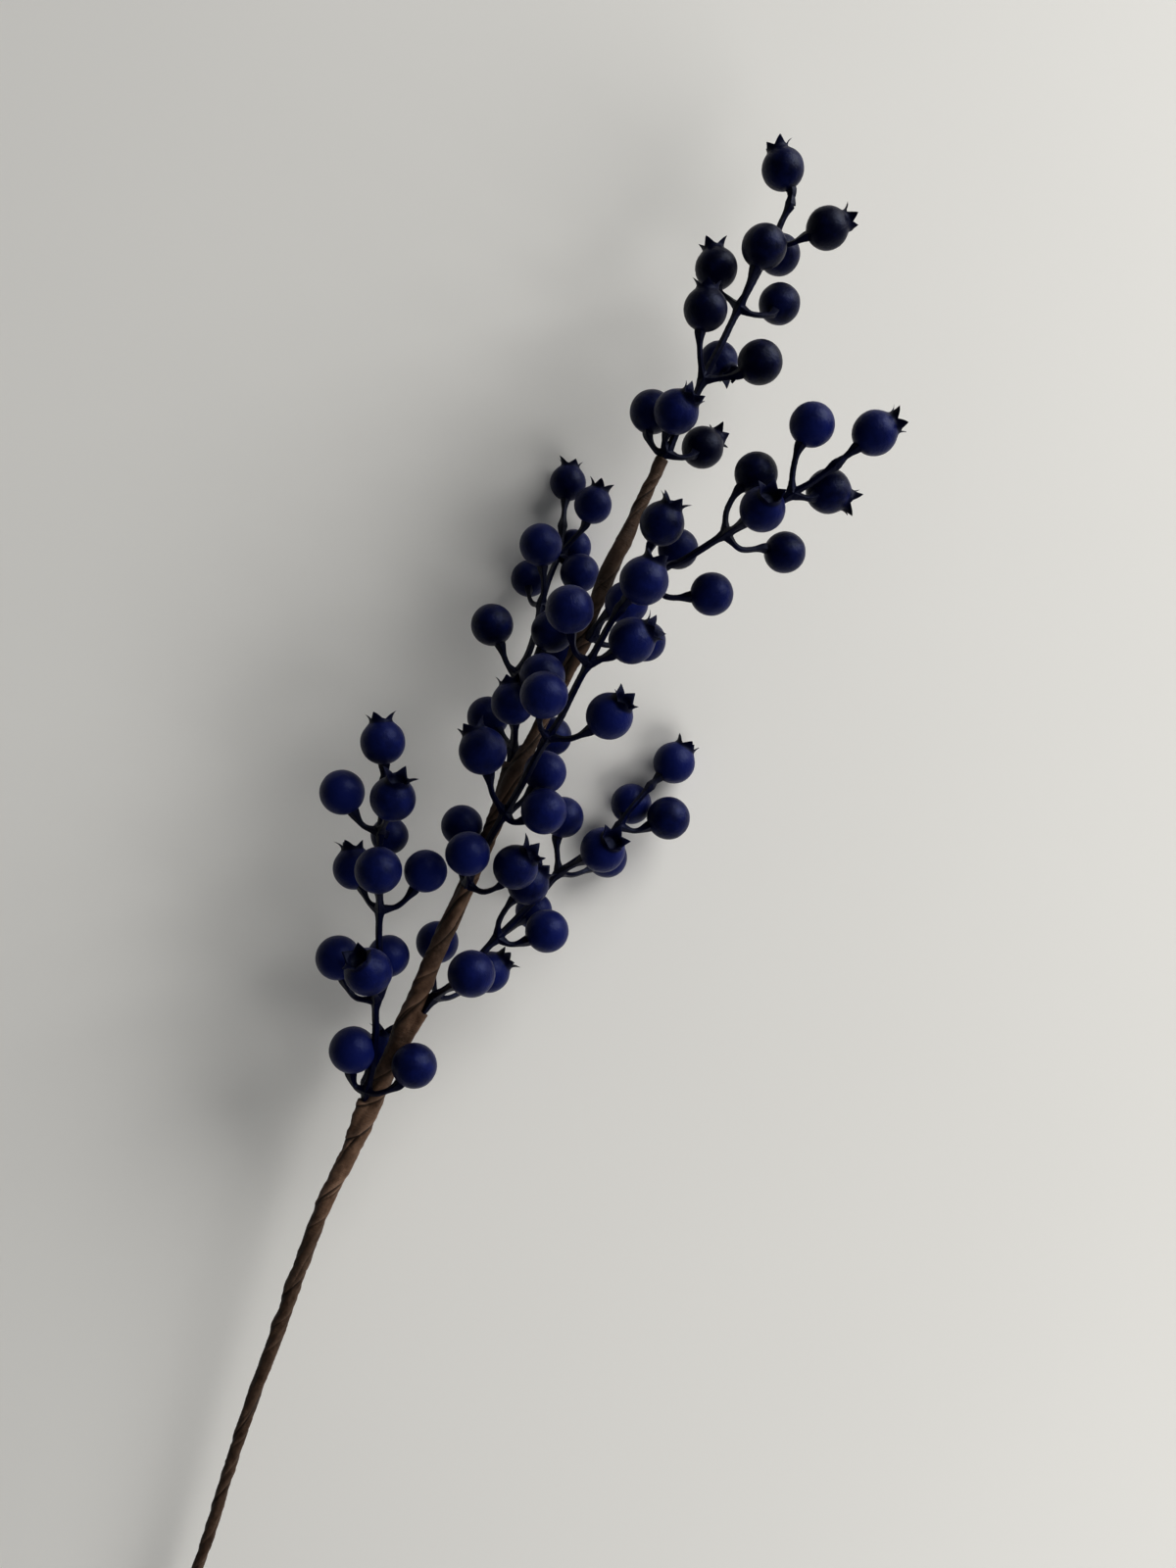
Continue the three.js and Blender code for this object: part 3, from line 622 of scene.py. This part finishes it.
def crown_rings(chance):
    """The crown's rings, [out, up, angle] each: up the outside of its wall of sepals, and down the inside."""
    lengths = [chance.uniform(*sepal_lengths) for _ in range(sepals)]
    curls = [chance.uniform(*sepal_curls) for _ in range(sepals)]
    leans = [chance.uniform(*sepal_leans) for _ in range(sepals)]
    outer, inner = [], []
    for row in range(1, sepal_rows + 1):
        share = row / sepal_rows
        thin = sepal_thickness * (1 - sepal_thins * share)
        ring_out, ring_in = [], []
        for i in range(berry_columns):
            turn = i / berry_columns * sepals
            nearest = math.floor(turn + 0.5)
            which = nearest % sepals
            across = 2 * (turn + 0.5 - nearest) - 1
            edge = max(0, 1 - abs(across / sepal_half_share) ** 1.1)
            length = crown_collar + (1 - crown_collar) * edge * lengths[which]
            out, up = sepal_point(share, length, curls[which])
            out -= sepal_cups * share * edge * abs(across)
            narrow = 1 - sepal_narrows * share * edge
            middle_turn = (nearest + leans[which] * share) / sepals * math.tau
            angle = middle_turn + across * narrow * math.pi / sepals
            ring_out.append((out, up, angle))
            ring_in.append((out - thin, up - 0.02 * share, angle))
        outer.append(ring_out)
        inner.append(ring_in)
    return outer + inner[::-1]


def berry_template(name, crowned, seed):
    """A berry of radius 1 about +Z: a ball of rings, and on a crowned one a fluted wall up to five sepals."""
    around = [i * math.tau / berry_columns for i in range(berry_columns)]
    rings = [[(out, up, angle) for angle in around] for out, up in ball_outline(crowned)]
    if crowned:
        rings += crown_rings(random.Random(seed))
        rings += [[(out, up, angle) for angle in around] for out, up in cup]
    lump = Vector((seed * 3.1, seed * 1.7, 0))
    vertices, faces = [], []
    for ring in rings:
        for out, up, angle in ring:
            place = Vector((out * math.cos(angle), out * math.sin(angle), up))
            vertices.append(place * (1 + berry_lumps * noise.noise(place * 1.7 + lump)))
    for row in range(len(rings) - 1):
        for i in range(berry_columns):
            j = (i + 1) % berry_columns
            a, b = row * berry_columns, (row + 1) * berry_columns
            faces.append((a + i, a + j, b + j, b + i))
    low, high = len(vertices), len(vertices) + 1
    vertices.append(Vector((0, 0, -1.0)))
    vertices.append(Vector((0, 0, cup_middle if crowned else 0.995)))
    last = (len(rings) - 1) * berry_columns
    for i in range(berry_columns):
        j = (i + 1) % berry_columns
        faces.append((low, j, i))
        faces.append((high, last + i, last + j))
    made = mesh_object(name, vertices, faces)
    made.data.polygons.foreach_set("use_smooth", [True] * len(faces))
    map_turn(made.data, crowned)
    return made


def map_turn(mesh, crowned):
    """A UV map of each corner's turn round the axis and its rise, where a crowned berry's top is at 0.5."""
    turn_map = mesh.uv_layers.new(name="turn")
    for polygon in mesh.polygons:
        corners = [mesh.vertices[index].co for index in polygon.vertices]
        angles = [math.atan2(corner.y, corner.x) for corner in corners]
        wraps = max(angles) - min(angles) > math.pi
        for loop, corner, angle in zip(polygon.loop_indices, corners, angles):
            whole = angle + math.tau if wraps and angle < 0 else angle
            rise = math.atan2(corner.z, math.hypot(corner.x, corner.y)) / math.pi
            turn_map.data[loop].uv = (whole / math.tau, rise if crowned else rise / 2)


def berry_templates():
    shelf = bpy.data.collections.new("berry templates")
    crowned = [berry_template("berry_%d" % i, True, i + 1) for i in range(crowned_kinds)]
    plain = [berry_template("berry_%d" % (crowned_kinds + i), False, i + 11) for i in range(plain_kinds)]
    for each in crowned + plain:
        bpy.context.scene.collection.objects.unlink(each)
        shelf.objects.link(each)
    return shelf


def berry_tree(shelf, plastic):
    tree = tree_with_geometry("berries on points")
    given = tree.nodes.new("NodeGroupInput")
    turn = add(tree, "GeometryNodeInputNamedAttribute", Name="turned")
    size = add(tree, "GeometryNodeInputNamedAttribute", Name="size")
    variety = add(tree, "GeometryNodeInputNamedAttribute", Name="variety")
    turn.data_type = "FLOAT_VECTOR"
    variety.data_type = "INT"
    kinds = add(
        tree, "GeometryNodeCollectionInfo", Collection=shelf, Separate_Children=True, Reset_Children=True
    )
    turned = add(tree, "FunctionNodeEulerToRotation", Euler=turn.outputs["Attribute"])
    points = given.outputs["Geometry"]
    placed = add(tree, "GeometryNodeInstanceOnPoints", Points=points, Pick_Instance=True)
    tree.links.new(kinds.outputs["Instances"], placed.inputs["Instance"])
    tree.links.new(variety.outputs["Attribute"], placed.inputs["Instance Index"])
    tree.links.new(turned.outputs["Rotation"], placed.inputs["Rotation"])
    tree.links.new(size.outputs["Attribute"], placed.inputs["Scale"])
    real = add(tree, "GeometryNodeRealizeInstances", Geometry=placed.outputs["Instances"])
    return in_material(tree, real.outputs["Geometry"], plastic)


def berry_points(rows, spray_painted_shade, chance):
    middles, turns, sizes, varieties, tones_and_painted_shade = [], [], [], [], []
    for row in rows:
        middle, radius, axis = berry_place(row)
        about = Quaternion(axis, chance.uniform(0, math.tau)) @ axis.to_track_quat("Z", "Y")
        middles.append(middle)
        turns += list(about.to_euler())
        sizes.append(radius * berry_fullness)
        kind = chance.randrange(crowned_kinds) if row[2] else crowned_kinds + chance.randrange(plain_kinds)
        varieties.append(kind)
        # Each berry's value: a random colour variation plus its spray's painted light and shade.
        tones_and_painted_shade.append(spray_painted_shade + chance.random())
    points = mesh_object("berry points", middles)
    data = points.data.attributes
    data.new("turned", "FLOAT_VECTOR", "POINT").data.foreach_set("vector", turns)
    data.new("size", "FLOAT", "POINT").data.foreach_set("value", sizes)
    data.new("variety", "INT", "POINT").data.foreach_set("value", varieties)
    data.new("tone", "FLOAT", "POINT").data.foreach_set("value", tones_and_painted_shade)
    return points


def calculated(tree, operation, *values):
    node = tree.nodes.new("ShaderNodeMath")
    node.operation = operation
    for value, socket in zip(values, node.inputs):
        put(value, socket, tree)
    return node.outputs["Value"]


def mixed(tree, share, first, second, blend="MIX"):
    """The first colour, and by this share of the way the second."""
    node = tree.nodes.new("ShaderNodeMix")
    node.data_type = "RGBA"
    node.blend_type = blend
    colours = [socket for socket in node.inputs if socket.type == "RGBA"]
    for value, socket in zip((share, first, second), (node.inputs["Factor"], *colours)):
        put(value, socket, tree)
    return next(socket for socket in node.outputs if socket.type == "RGBA")


def navy_plastic():
    """Satin navy, varying at random, with painted light and shade for each spray and on the stalks, painted
    shade and more roughness in the crown, pitted, with the mould's fine seams.
    """
    made, tree, shader = new_material("navy moulded plastic")
    place = add(tree, "ShaderNodeTexCoord").outputs["Object"]
    tone = add(tree, "ShaderNodeAttribute")
    tone.attribute_name = "tone"
    # The attribute's value, scaled and with fine noise, picks the navy: random colour variation together with
    # the painted light and shade of each spray and of the stalks.
    shade = calculated(tree, "MULTIPLY_ADD", tone.outputs["Fac"], 0.6, noise_at(tree, place, 260, 3, 0.6))
    navy = colour_ramp(tree, shade, [(0.35, (0.0006, 0.0011, 0.0125)), (1, (0.0042, 0.0082, 0.072))])
    turn_map = add(tree, "ShaderNodeUVMap")
    turn_map.uv_map = "turn"
    around = add(tree, "ShaderNodeSeparateXYZ", Vector=turn_map.outputs["UV"])
    # Painted shade: the crown's sepals and hollow are mixed to a darker navy, as shade falls in the recess;
    # the same mask makes them rougher.
    crown = ranged(tree, around.outputs["Y"], From_Min=0.3, From_Max=0.33)
    put(mixed(tree, crown, navy, (0.0012, 0.0019, 0.017, 1)), shader.inputs["Base Color"], tree)
    gloss = ranged(tree, noise_at(tree, place, 700, 5, 0.65), To_Min=0.27, To_Max=0.45)
    put(ranged(tree, crown, To_Min=gloss, To_Max=0.5), shader.inputs["Roughness"], tree)
    pits = bumped(tree, noise_at(tree, place, 1500, 5, 0.7), 0.55, 0.2 * MM)
    waves = bumped(tree, noise_at(tree, place, 520, 2), 0.3, 0.5 * MM, Normal=pits)
    from_seam = calculated(tree, "PINGPONG", around.outputs["X"], 0.25)
    seam = ranged(tree, from_seam, From_Max=0.005, To_Min=1, To_Max=0)
    put(bumped(tree, seam, 0.3, 0.1 * MM, Normal=waves), shader.inputs["Normal"], tree)
    shader.inputs["IOR"].default_value = 1.5
    shader.inputs["Specular IOR Level"].default_value = 0.17
    shader.inputs["Specular Tint"].default_value = (0.62, 0.72, 1.0, 1)
    return made


def joined(first, second):
    with bpy.context.temp_override(active_object=first, selected_editable_objects=[first, second]):
        bpy.ops.object.join()
    return first


def rest_on_table(piece):
    places = np.empty(len(piece.data.vertices) * 3)
    piece.data.vertices.foreach_get("co", places)
    places[2::3] = np.maximum(places[2::3], 0)
    piece.data.vertices.foreach_set("co", places)
    piece.data.update()


def fused_stalks(spray, stalks_drawn, plastic):
    """A spray's stalks, drawn along their lines and fused where they meet, which loses their material."""
    runs = [main_stalk(spray["main"], [start for start, whorl in spray["whorls"]])]
    runs += [berry_stalk(start, row) for start, whorl in spray["whorls"] for row in whorl]
    if spray["name"] == "spray_tip":
        runs.append(([seen(point) for point in flash_nub], list(flash_nub_radii)))
    stalks = network(runs)
    stalks.modifiers.new("stalks", "NODES").node_group = stalks_drawn
    fuse = stalks.modifiers.new("fused", "REMESH")
    fuse.mode = "VOXEL"
    fuse.voxel_size = stalk_grain
    fuse.use_smooth_shade = True
    soften = stalks.modifiers.new("softened", "SMOOTH")
    soften.factor = 0.5
    soften.iterations = 2
    fewer = stalks.modifiers.new("fewer faces", "DECIMATE")
    fewer.ratio = stalk_faces_kept
    stalks = finished(stalks, spray["name"] + "_moulding")
    # Painted shade: the stalks' value set low, so they come out darker navy than the berries.
    shade = stalks.data.attributes.new("tone", "FLOAT", "POINT")
    shade.data.foreach_set("value", [stalk_painted_shade] * len(stalks.data.vertices))
    stalks.data.materials.clear()
    stalks.data.materials.append(plastic)
    return stalks


def moulded_sprays():
    plastic = navy_plastic()
    shelf = berry_templates()
    berries_placed = berry_tree(shelf, plastic)
    stalks_drawn = stalk_tree(plastic)
    for number, spray in enumerate(sprays):
        chance = random.Random(first_spray_seed + number)
        stalks = fused_stalks(spray, stalks_drawn, plastic)
        rows = [row for start, whorl in spray["whorls"] for row in whorl]
        berries = berry_points(rows, spray_painted_shades[spray["name"]], chance)
        berries.modifiers.new("berries", "NODES").node_group = berries_placed
        berries = finished(berries, "berries")
        moulding = joined(stalks, berries)
        rest_on_table(moulding)
        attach(moulding, "root")
        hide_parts(spray["name"])
    for each in list(shelf.objects):
        bpy.data.objects.remove(each, do_unlink=True)
    bpy.data.collections.remove(shelf)


moulded_sprays()


# Paper tape
# Brown crepe-paper tape, wound by hand at a steep slant round the wire from top to foot. Each lap lies over
# the last one's edge, each spray's tail is bound in as a long lump, and the pulled paper is creased.
ring_spacing = 0.35 * MM
ring_columns = 48
sleeve_radius = 1.7 * MM
sleeve_start_radius = 0.8 * MM
sleeve_sinks = 2.5 * MM
sleeve_rises = 2.2 * MM
sleeve_blend = 1.3 * MM
sleeve_starts, sleeve_ends = -0.02, 1.04
lap_length = 31.0
lap_step = 0.28 * MM
lap_edge_share, binding_edge_share = 0.02, 0.03
tight_lap_share = 0.6
binding_length = 28.0
binding_plies = 2
binding_step = 0.24 * MM
binding_on_stem = 0.4
binding_wobble, binding_wobble_run = 0.3, 6.1
binding_at_tail = [(6, 9, 1)]
smooth_foot_end, loose_laps_start = 80, 185
lap_wobbles = [(0.22, 19, 0), (0.13, 8.3, 1)]
pulled_tight = [(258, 9, 1), (205, 5, 0.6)]
crease_depth, pulled_depth = 0.14 * MM, 0.22 * MM
pleat_depth, ripple_depth = 0.2 * MM, 0.08 * MM
crease_scales, pleat_scales, ripple_scales = (1.6, 0.32), (6, 0.09), (4, 1.3)
radius_smoothing = 15
tape_lumps = [(262, 4, 0.3), (205, 3.2, 0.6), (192, 2.6, 0.45), (171, 3, 0.3), (124, 4, 0.2)]
ragged_end = 0.12 * MM
end_sinks = 0.2 * MM
stem_length_mm = 431
bore_radius = 0.7 * MM


def winding(along):
    """How many laps have been wound at this many millimetres from the foot. The laps are uneven."""
    return along / lap_length + sum(size * math.sin(along / run + turn) for size, run, turn in lap_wobbles)


def bulge(along, rows):
    """How high the humps add up at this many millimetres along, from rows of a place, a length and a size."""
    return sum(size * math.exp(-(((along - place) / length) ** 2)) for place, length, size in rows)


def relief(out, along, scales, shift=0):
    """Noise by the way out from the stem's middle and by the millimetres from the foot."""
    return noise.noise(Vector((out.x * scales[0] + shift, out.z * scales[0], along * scales[1])))


def over_sleeve(radius, start, end, middle, along, out):
    """The tape's radius this way out, where a spray's tail lies bound in from start to end."""
    run = end - start
    share = (middle - start).dot(along) / run.dot(along)
    if not sleeve_starts < share < sleeve_ends:
        return radius
    offset = start + run * share - middle
    wide = sleeve_start_radius + (sleeve_radius - sleeve_start_radius) * min(1, max(0, share))
    across = offset.dot(out)
    inside = wide * wide - offset.length_squared + across * across
    if inside <= 0:
        return radius
    reach = (across + math.sqrt(inside)) * (1 - eased(share, 1, sleeve_ends))
    gap = max(sleeve_blend - abs(reach - radius), 0) / sleeve_blend
    return max(reach, radius) + gap * gap * sleeve_blend / 4


def tape_mesh():
    """The rings' middles, the points, and for each point its laps and its bindings with their strength."""
    middles = through(stem_line, ring_spacing)
    known = [point.y for point in stem_line]
    radii = np.interp([middle.y for middle in middles], known, [point[3] * MM for point in stem])
    kernel = np.hanning(radius_smoothing)
    radii = np.pad(radii, radius_smoothing // 2, mode="edge")
    radii = np.convolve(radii, kernel / kernel.sum(), mode="valid")
    sleeves = []
    for spray in sprays[1:]:
        start, end = (seen(point) for point in spray["main"][:2])
        way = (end - start).normalized()
        sleeves.append((start - way * sleeve_sinks, end + way * sleeve_rises))
    vertices, laps, bindings = [], [], []
    travelled = 0
    for number, middle in enumerate(middles):
        before = middles[max(0, number - 1)]
        after = middles[min(len(middles) - 1, number + 1)]
        along = (after - before).normalized()
        right = along.cross(Vector((0, 0, 1))).normalized()
        up = right.cross(along)
        travelled += (middle - before).length
        s = travelled / MM
        below = [(end.y - middle.y) / MM for start, end in sleeves]
        loose = eased(s, smooth_foot_end, loose_laps_start)
        bound = min(1, binding_on_stem * loose + sum(bulge(under, binding_at_tail) for under in below))
        step = lap_step * (tight_lap_share + (1 - tight_lap_share) * loose)
        wobble = binding_wobble * math.sin(s / binding_wobble_run)
        lumps = bulge(s, tape_lumps) * MM
        crease_here = crease_depth + pulled_depth * bulge(s, pulled_tight)
        for column in range(ring_columns):
            turn = -math.pi / 2 + column * math.tau / ring_columns
            out = right * math.cos(turn) + up * math.sin(turn)
            radius = radii[number]
            for start, end in sleeves:
                radius = over_sleeve(radius, start, end, middle, along, out)
            lap = winding(s) + column / ring_columns
            since = lap - math.floor(lap)
            radius += step * (1 - since) * eased(since, 0, lap_edge_share)
            second = binding_plies * (s / binding_length + column / ring_columns) + wobble
            since_second = second - math.floor(second)
            radius += binding_step * bound * (1 - since_second) * eased(since_second, 0, binding_edge_share)
            radius += lumps * max(0, -out.x) ** 2
            radius += crease_here * relief(out, s, crease_scales, 5)
            pleat = noise.noise(Vector((since * pleat_scales[0], s * pleat_scales[1], 3)))
            radius += pleat_depth * (0.5 - abs(pleat) * 2.4)
            radius += ripple_depth * relief(out, s, ripple_scales)
            vertices.append(middle + out * radius)
            laps.append((lap, s))
            bindings.append((second, bound))
    return middles, vertices, laps, bindings


def paper_tape():
    middles, vertices, laps, bindings = tape_mesh()
    rows = len(middles)
    faces, corners, second_corners = [], [], []
    for row in range(rows - 1):
        for column in range(ring_columns):
            beside = (column + 1) % ring_columns
            a, b = row * ring_columns, (row + 1) * ring_columns
            faces.append((a + column, a + beside, b + beside, b + column))
            wrap = 1 if beside == 0 else 0
            for index in faces[-1]:
                more = wrap if index % ring_columns == 0 else 0
                corners.append((laps[index][0] + more, laps[index][1]))
                second_corners.append((bindings[index][0] + more * binding_plies, bindings[index][1]))
    for row, inward in ((0, -1), (rows - 1, 1)):
        first = row * ring_columns
        start = len(vertices)
        along = (middles[min(rows - 1, row + 1)] - middles[max(0, row - 1)]).normalized()
        for column in range(ring_columns):
            out = (vertices[first + column] - middles[row]).normalized()
            ragged = ragged_end * noise.noise(out * 3)
            vertices.append(middles[row] + out * bore_radius + along * inward * ragged)
        for column in range(ring_columns):
            beside = (column + 1) % ring_columns
            face = (first + column, start + column, start + beside, first + beside)
            faces.append(face if inward < 0 else face[::-1])
            corners += [(0, 0)] * 4
        start_centre = len(vertices)
        vertices.append(middles[row] - along * inward * end_sinks)
        for column in range(ring_columns):
            beside = (column + 1) % ring_columns
            face = (start + column, start_centre, start + beside)
            faces.append(face if inward < 0 else face[::-1])
            corners += [(0, 0)] * 3
    tape = mesh_object("paper_tape", vertices, faces)
    lap_map = tape.data.uv_layers.new(name="laps")
    lap_map.data.foreach_set("uv", [number for corner in corners for number in corner])
    second_corners += [(0.5, 0)] * (len(corners) - len(second_corners))
    binding_map = tape.data.uv_layers.new(name="bindings")
    binding_map.data.foreach_set("uv", [number for corner in second_corners for number in corner])
    tape.data.polygons.foreach_set("use_smooth", [True] * len(faces))
    rest_on_table(tape)
    tape.data.materials.append(crepe_paper())
    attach(tape, "root")
    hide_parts("stem_wrap")


def lap_edge(tree, uv_name, gap_width):
    """How far round since a lap's edge, its painted shadow just below the edge, its painted highlight just
    past it, and the UV map's second number.
    """
    lap_map = add(tree, "ShaderNodeUVMap")
    lap_map.uv_map = uv_name
    split = add(tree, "ShaderNodeSeparateXYZ", Vector=lap_map.outputs["UV"])
    since = calculated(tree, "FRACT", split.outputs["X"])
    # Painted shadow: dark just below each lap's edge, fading over a few hundredths of a turn, faint just past
    # the edge.
    closes = [(1 - 2.4 * gap_width, 0), (1 - gap_width, 0.7), (1, 1)]
    gap = colour_ramp(tree, since, [(0, 0.3), (0.012, 0), *closes])
    # Painted highlight: a pale band just past each raised edge.
    rim = ranged(tree, since, From_Min=0.02, From_Max=4 * gap_width, To_Min=1, To_Max=0)
    return since, gap, rim, split.outputs["Y"]


def crepe_paper():
    """Brown paper in random patches, with painted light and shade along the stem, painted highlights just
    past the lap edges, and painted shadow in the seams and folds.
    """
    made, tree, shader = new_material("brown crepe paper tape")
    since, gap, rim, along = lap_edge(tree, "laps", 0.035)
    since_second, binding_gap_shadow, binding_rim_highlight, bound = lap_edge(tree, "bindings", 0.06)
    # Painted shadow along the lap seams, and along the binding seams where the tails are bound in.
    gap_shadow_mask = calculated(tree, "MAXIMUM", gap, calculated(tree, "MULTIPLY", binding_gap_shadow, bound))
    rim_highlight_mask = ranged(tree, calculated(tree, "MAXIMUM", rim, binding_rim_highlight), To_Max=0.45)
    strip = add(tree, "ShaderNodeCombineXYZ", X=since, Y=along).outputs["Vector"]
    crepe_place = add(tree, "ShaderNodeMapping", Vector=strip, Scale=(7, 2.6, 1)).outputs["Vector"]
    crepe = noise_at(tree, crepe_place, 1, 5, 0.62)
    fold_place = add(tree, "ShaderNodeMapping", Vector=strip, Scale=(5, 0.16, 1)).outputs["Vector"]
    folds = noise_at(tree, fold_place, 1, 3)
    folds.node.noise_type = "RIDGED_MULTIFRACTAL"
    place = add(tree, "ShaderNodeTexCoord").outputs["Object"]
    patches = noise_at(tree, place, 210, 4, 0.6)
    brown = colour_ramp(tree, patches, [(0.3, (0.060, 0.031, 0.018)), (0.72, (0.180, 0.112, 0.075))])
    # Painted highlight: the raised lap edges mixed toward a pale fawn.
    rim_painted_highlight = mixed(tree, rim_highlight_mask, brown, (0.30, 0.20, 0.145, 1))
    # Painted light and shade along the stem: full brightness from about 235 to 293 mm, fading to half by
    # about 371 mm towards the top among the berries, and darker below about 222 mm.
    height = ranged(tree, along, From_Max=stem_length_mm)
    painted_light_along_stem = colour_ramp(tree, height, [(0.515, 0.44), (0.545, 1), (0.68, 0.95), (0.86, 0.5)])
    toned_and_lit = mixed(tree, 1.0, rim_painted_highlight, painted_light_along_stem, "MULTIPLY")
    # Painted shade in the ridged folds and painted shadow in the seams, mixed to a near-black brown.
    fold_painted_shade = ranged(tree, folds, From_Min=0.9, From_Max=1.2, To_Max=0.75)
    painted_shadow_lines = calculated(tree, "MAXIMUM", gap_shadow_mask, fold_painted_shade)
    put(mixed(tree, painted_shadow_lines, toned_and_lit, (0.0065, 0.003, 0.0016, 1)), shader.inputs["Base Color"], tree)
    put(ranged(tree, patches, To_Min=0.40, To_Max=0.72), shader.inputs["Roughness"], tree)
    folded = bumped(tree, folds, 0.9, 0.6 * MM)
    crinkled = bumped(tree, crepe, 0.8, 0.4 * MM, Normal=folded)
    fibres = noise_at(tree, place, 2400, 3, 0.7)
    put(bumped(tree, fibres, 0.4, 0.1 * MM, Normal=crinkled), shader.inputs["Normal"], tree)
    shader.inputs["Specular IOR Level"].default_value = 0.25
    return made


paper_tape()


# Floor, light and camera
# A plain pale floor under plain soft studio light: a broad soft light low at the upper right of the picture,
# a weak one from the lower right, and an even grey room. The camera looks straight down on the sprig from
# 40 centimetres above the stem's top.
floor_half_width = 1.3
lit_place = Vector((0.01, 0.09, 0.04))
camera_place = Vector((0.0135, 0.0934, 0.445))
picture_right = Vector((0.9205, 0.3907, 0))
picture_up = Vector((-0.3907, 0.9205, 0))


def pale_floor():
    half = floor_half_width
    corners = [(-half, -half, 0), (half, -half, 0), (half, half, 0), (-half, half, 0)]
    floor = mesh_object("pale_floor", corners, [(0, 1, 2, 3)])
    made, tree, shader = new_material("pale matt floor")
    mottle = noise_at(tree, add(tree, "ShaderNodeTexCoord").outputs["Object"], 3, 3)
    pale = colour_ramp(tree, mottle, [(0, (0.80, 0.795, 0.77)), (1, (0.86, 0.855, 0.83))])
    put(pale, shader.inputs["Base Color"], tree)
    shader.inputs["Roughness"].default_value = 0.7
    floor.data.materials.append(made)


def soft_light(name, way, distance, size, energy):
    lamp = bpy.data.lights.new(name, "AREA")
    lamp.shape = "SQUARE"
    lamp.size = size
    lamp.energy = energy
    lamp.color = (1.0, 0.985, 0.96)
    light = bpy.data.objects.new(name, lamp)
    light.location = lit_place + way.normalized() * distance
    light.rotation_euler = way.to_track_quat("Z", "Y").to_euler()
    bpy.context.scene.collection.objects.link(light)
    return light


def studio_light():
    """The two lights and the room, which lights the sprig weakly and is seen paler than it lights."""
    soft_light("key light from the upper right", Vector((0.458, 0.814, 0.345)), 2.2, 1.8, 72)
    fill = soft_light("broad light from the lower right", Vector((0.80, -0.35, 0.62)), 1.4, 1.0, 12)
    fill.visible_glossy = False
    room = bpy.data.worlds.new("grey room")
    room.use_nodes = True
    tree = room.node_tree
    seen_by_camera = add(tree, "ShaderNodeLightPath").outputs["Is Camera Ray"]
    wall = mixed(tree, seen_by_camera, (0.62, 0.66, 0.72, 1), (0.78, 0.775, 0.76, 1))
    put(wall, tree.nodes["Background"].inputs["Color"], tree)
    strength = ranged(tree, seen_by_camera, To_Min=0.10, To_Max=0.85)
    put(strength, tree.nodes["Background"].inputs["Strength"], tree)
    bpy.context.scene.world = room


def camera():
    lens = bpy.data.cameras.new("camera")
    lens.lens = 32.73
    lens.sensor_width = 36
    lens.clip_start = 0.01
    seen_from = bpy.data.objects.new("camera", lens)
    turned = Matrix((picture_right, picture_up, (0, 0, 1))).transposed().to_4x4()
    seen_from.matrix_world = Matrix.Translation(camera_place) @ turned
    bpy.context.scene.collection.objects.link(seen_from)
    bpy.context.scene.camera = seen_from


pale_floor()
studio_light()
camera()
bpy.context.scene.view_settings.view_transform = "Standard"
bpy.context.scene.view_settings.gamma = 0.85
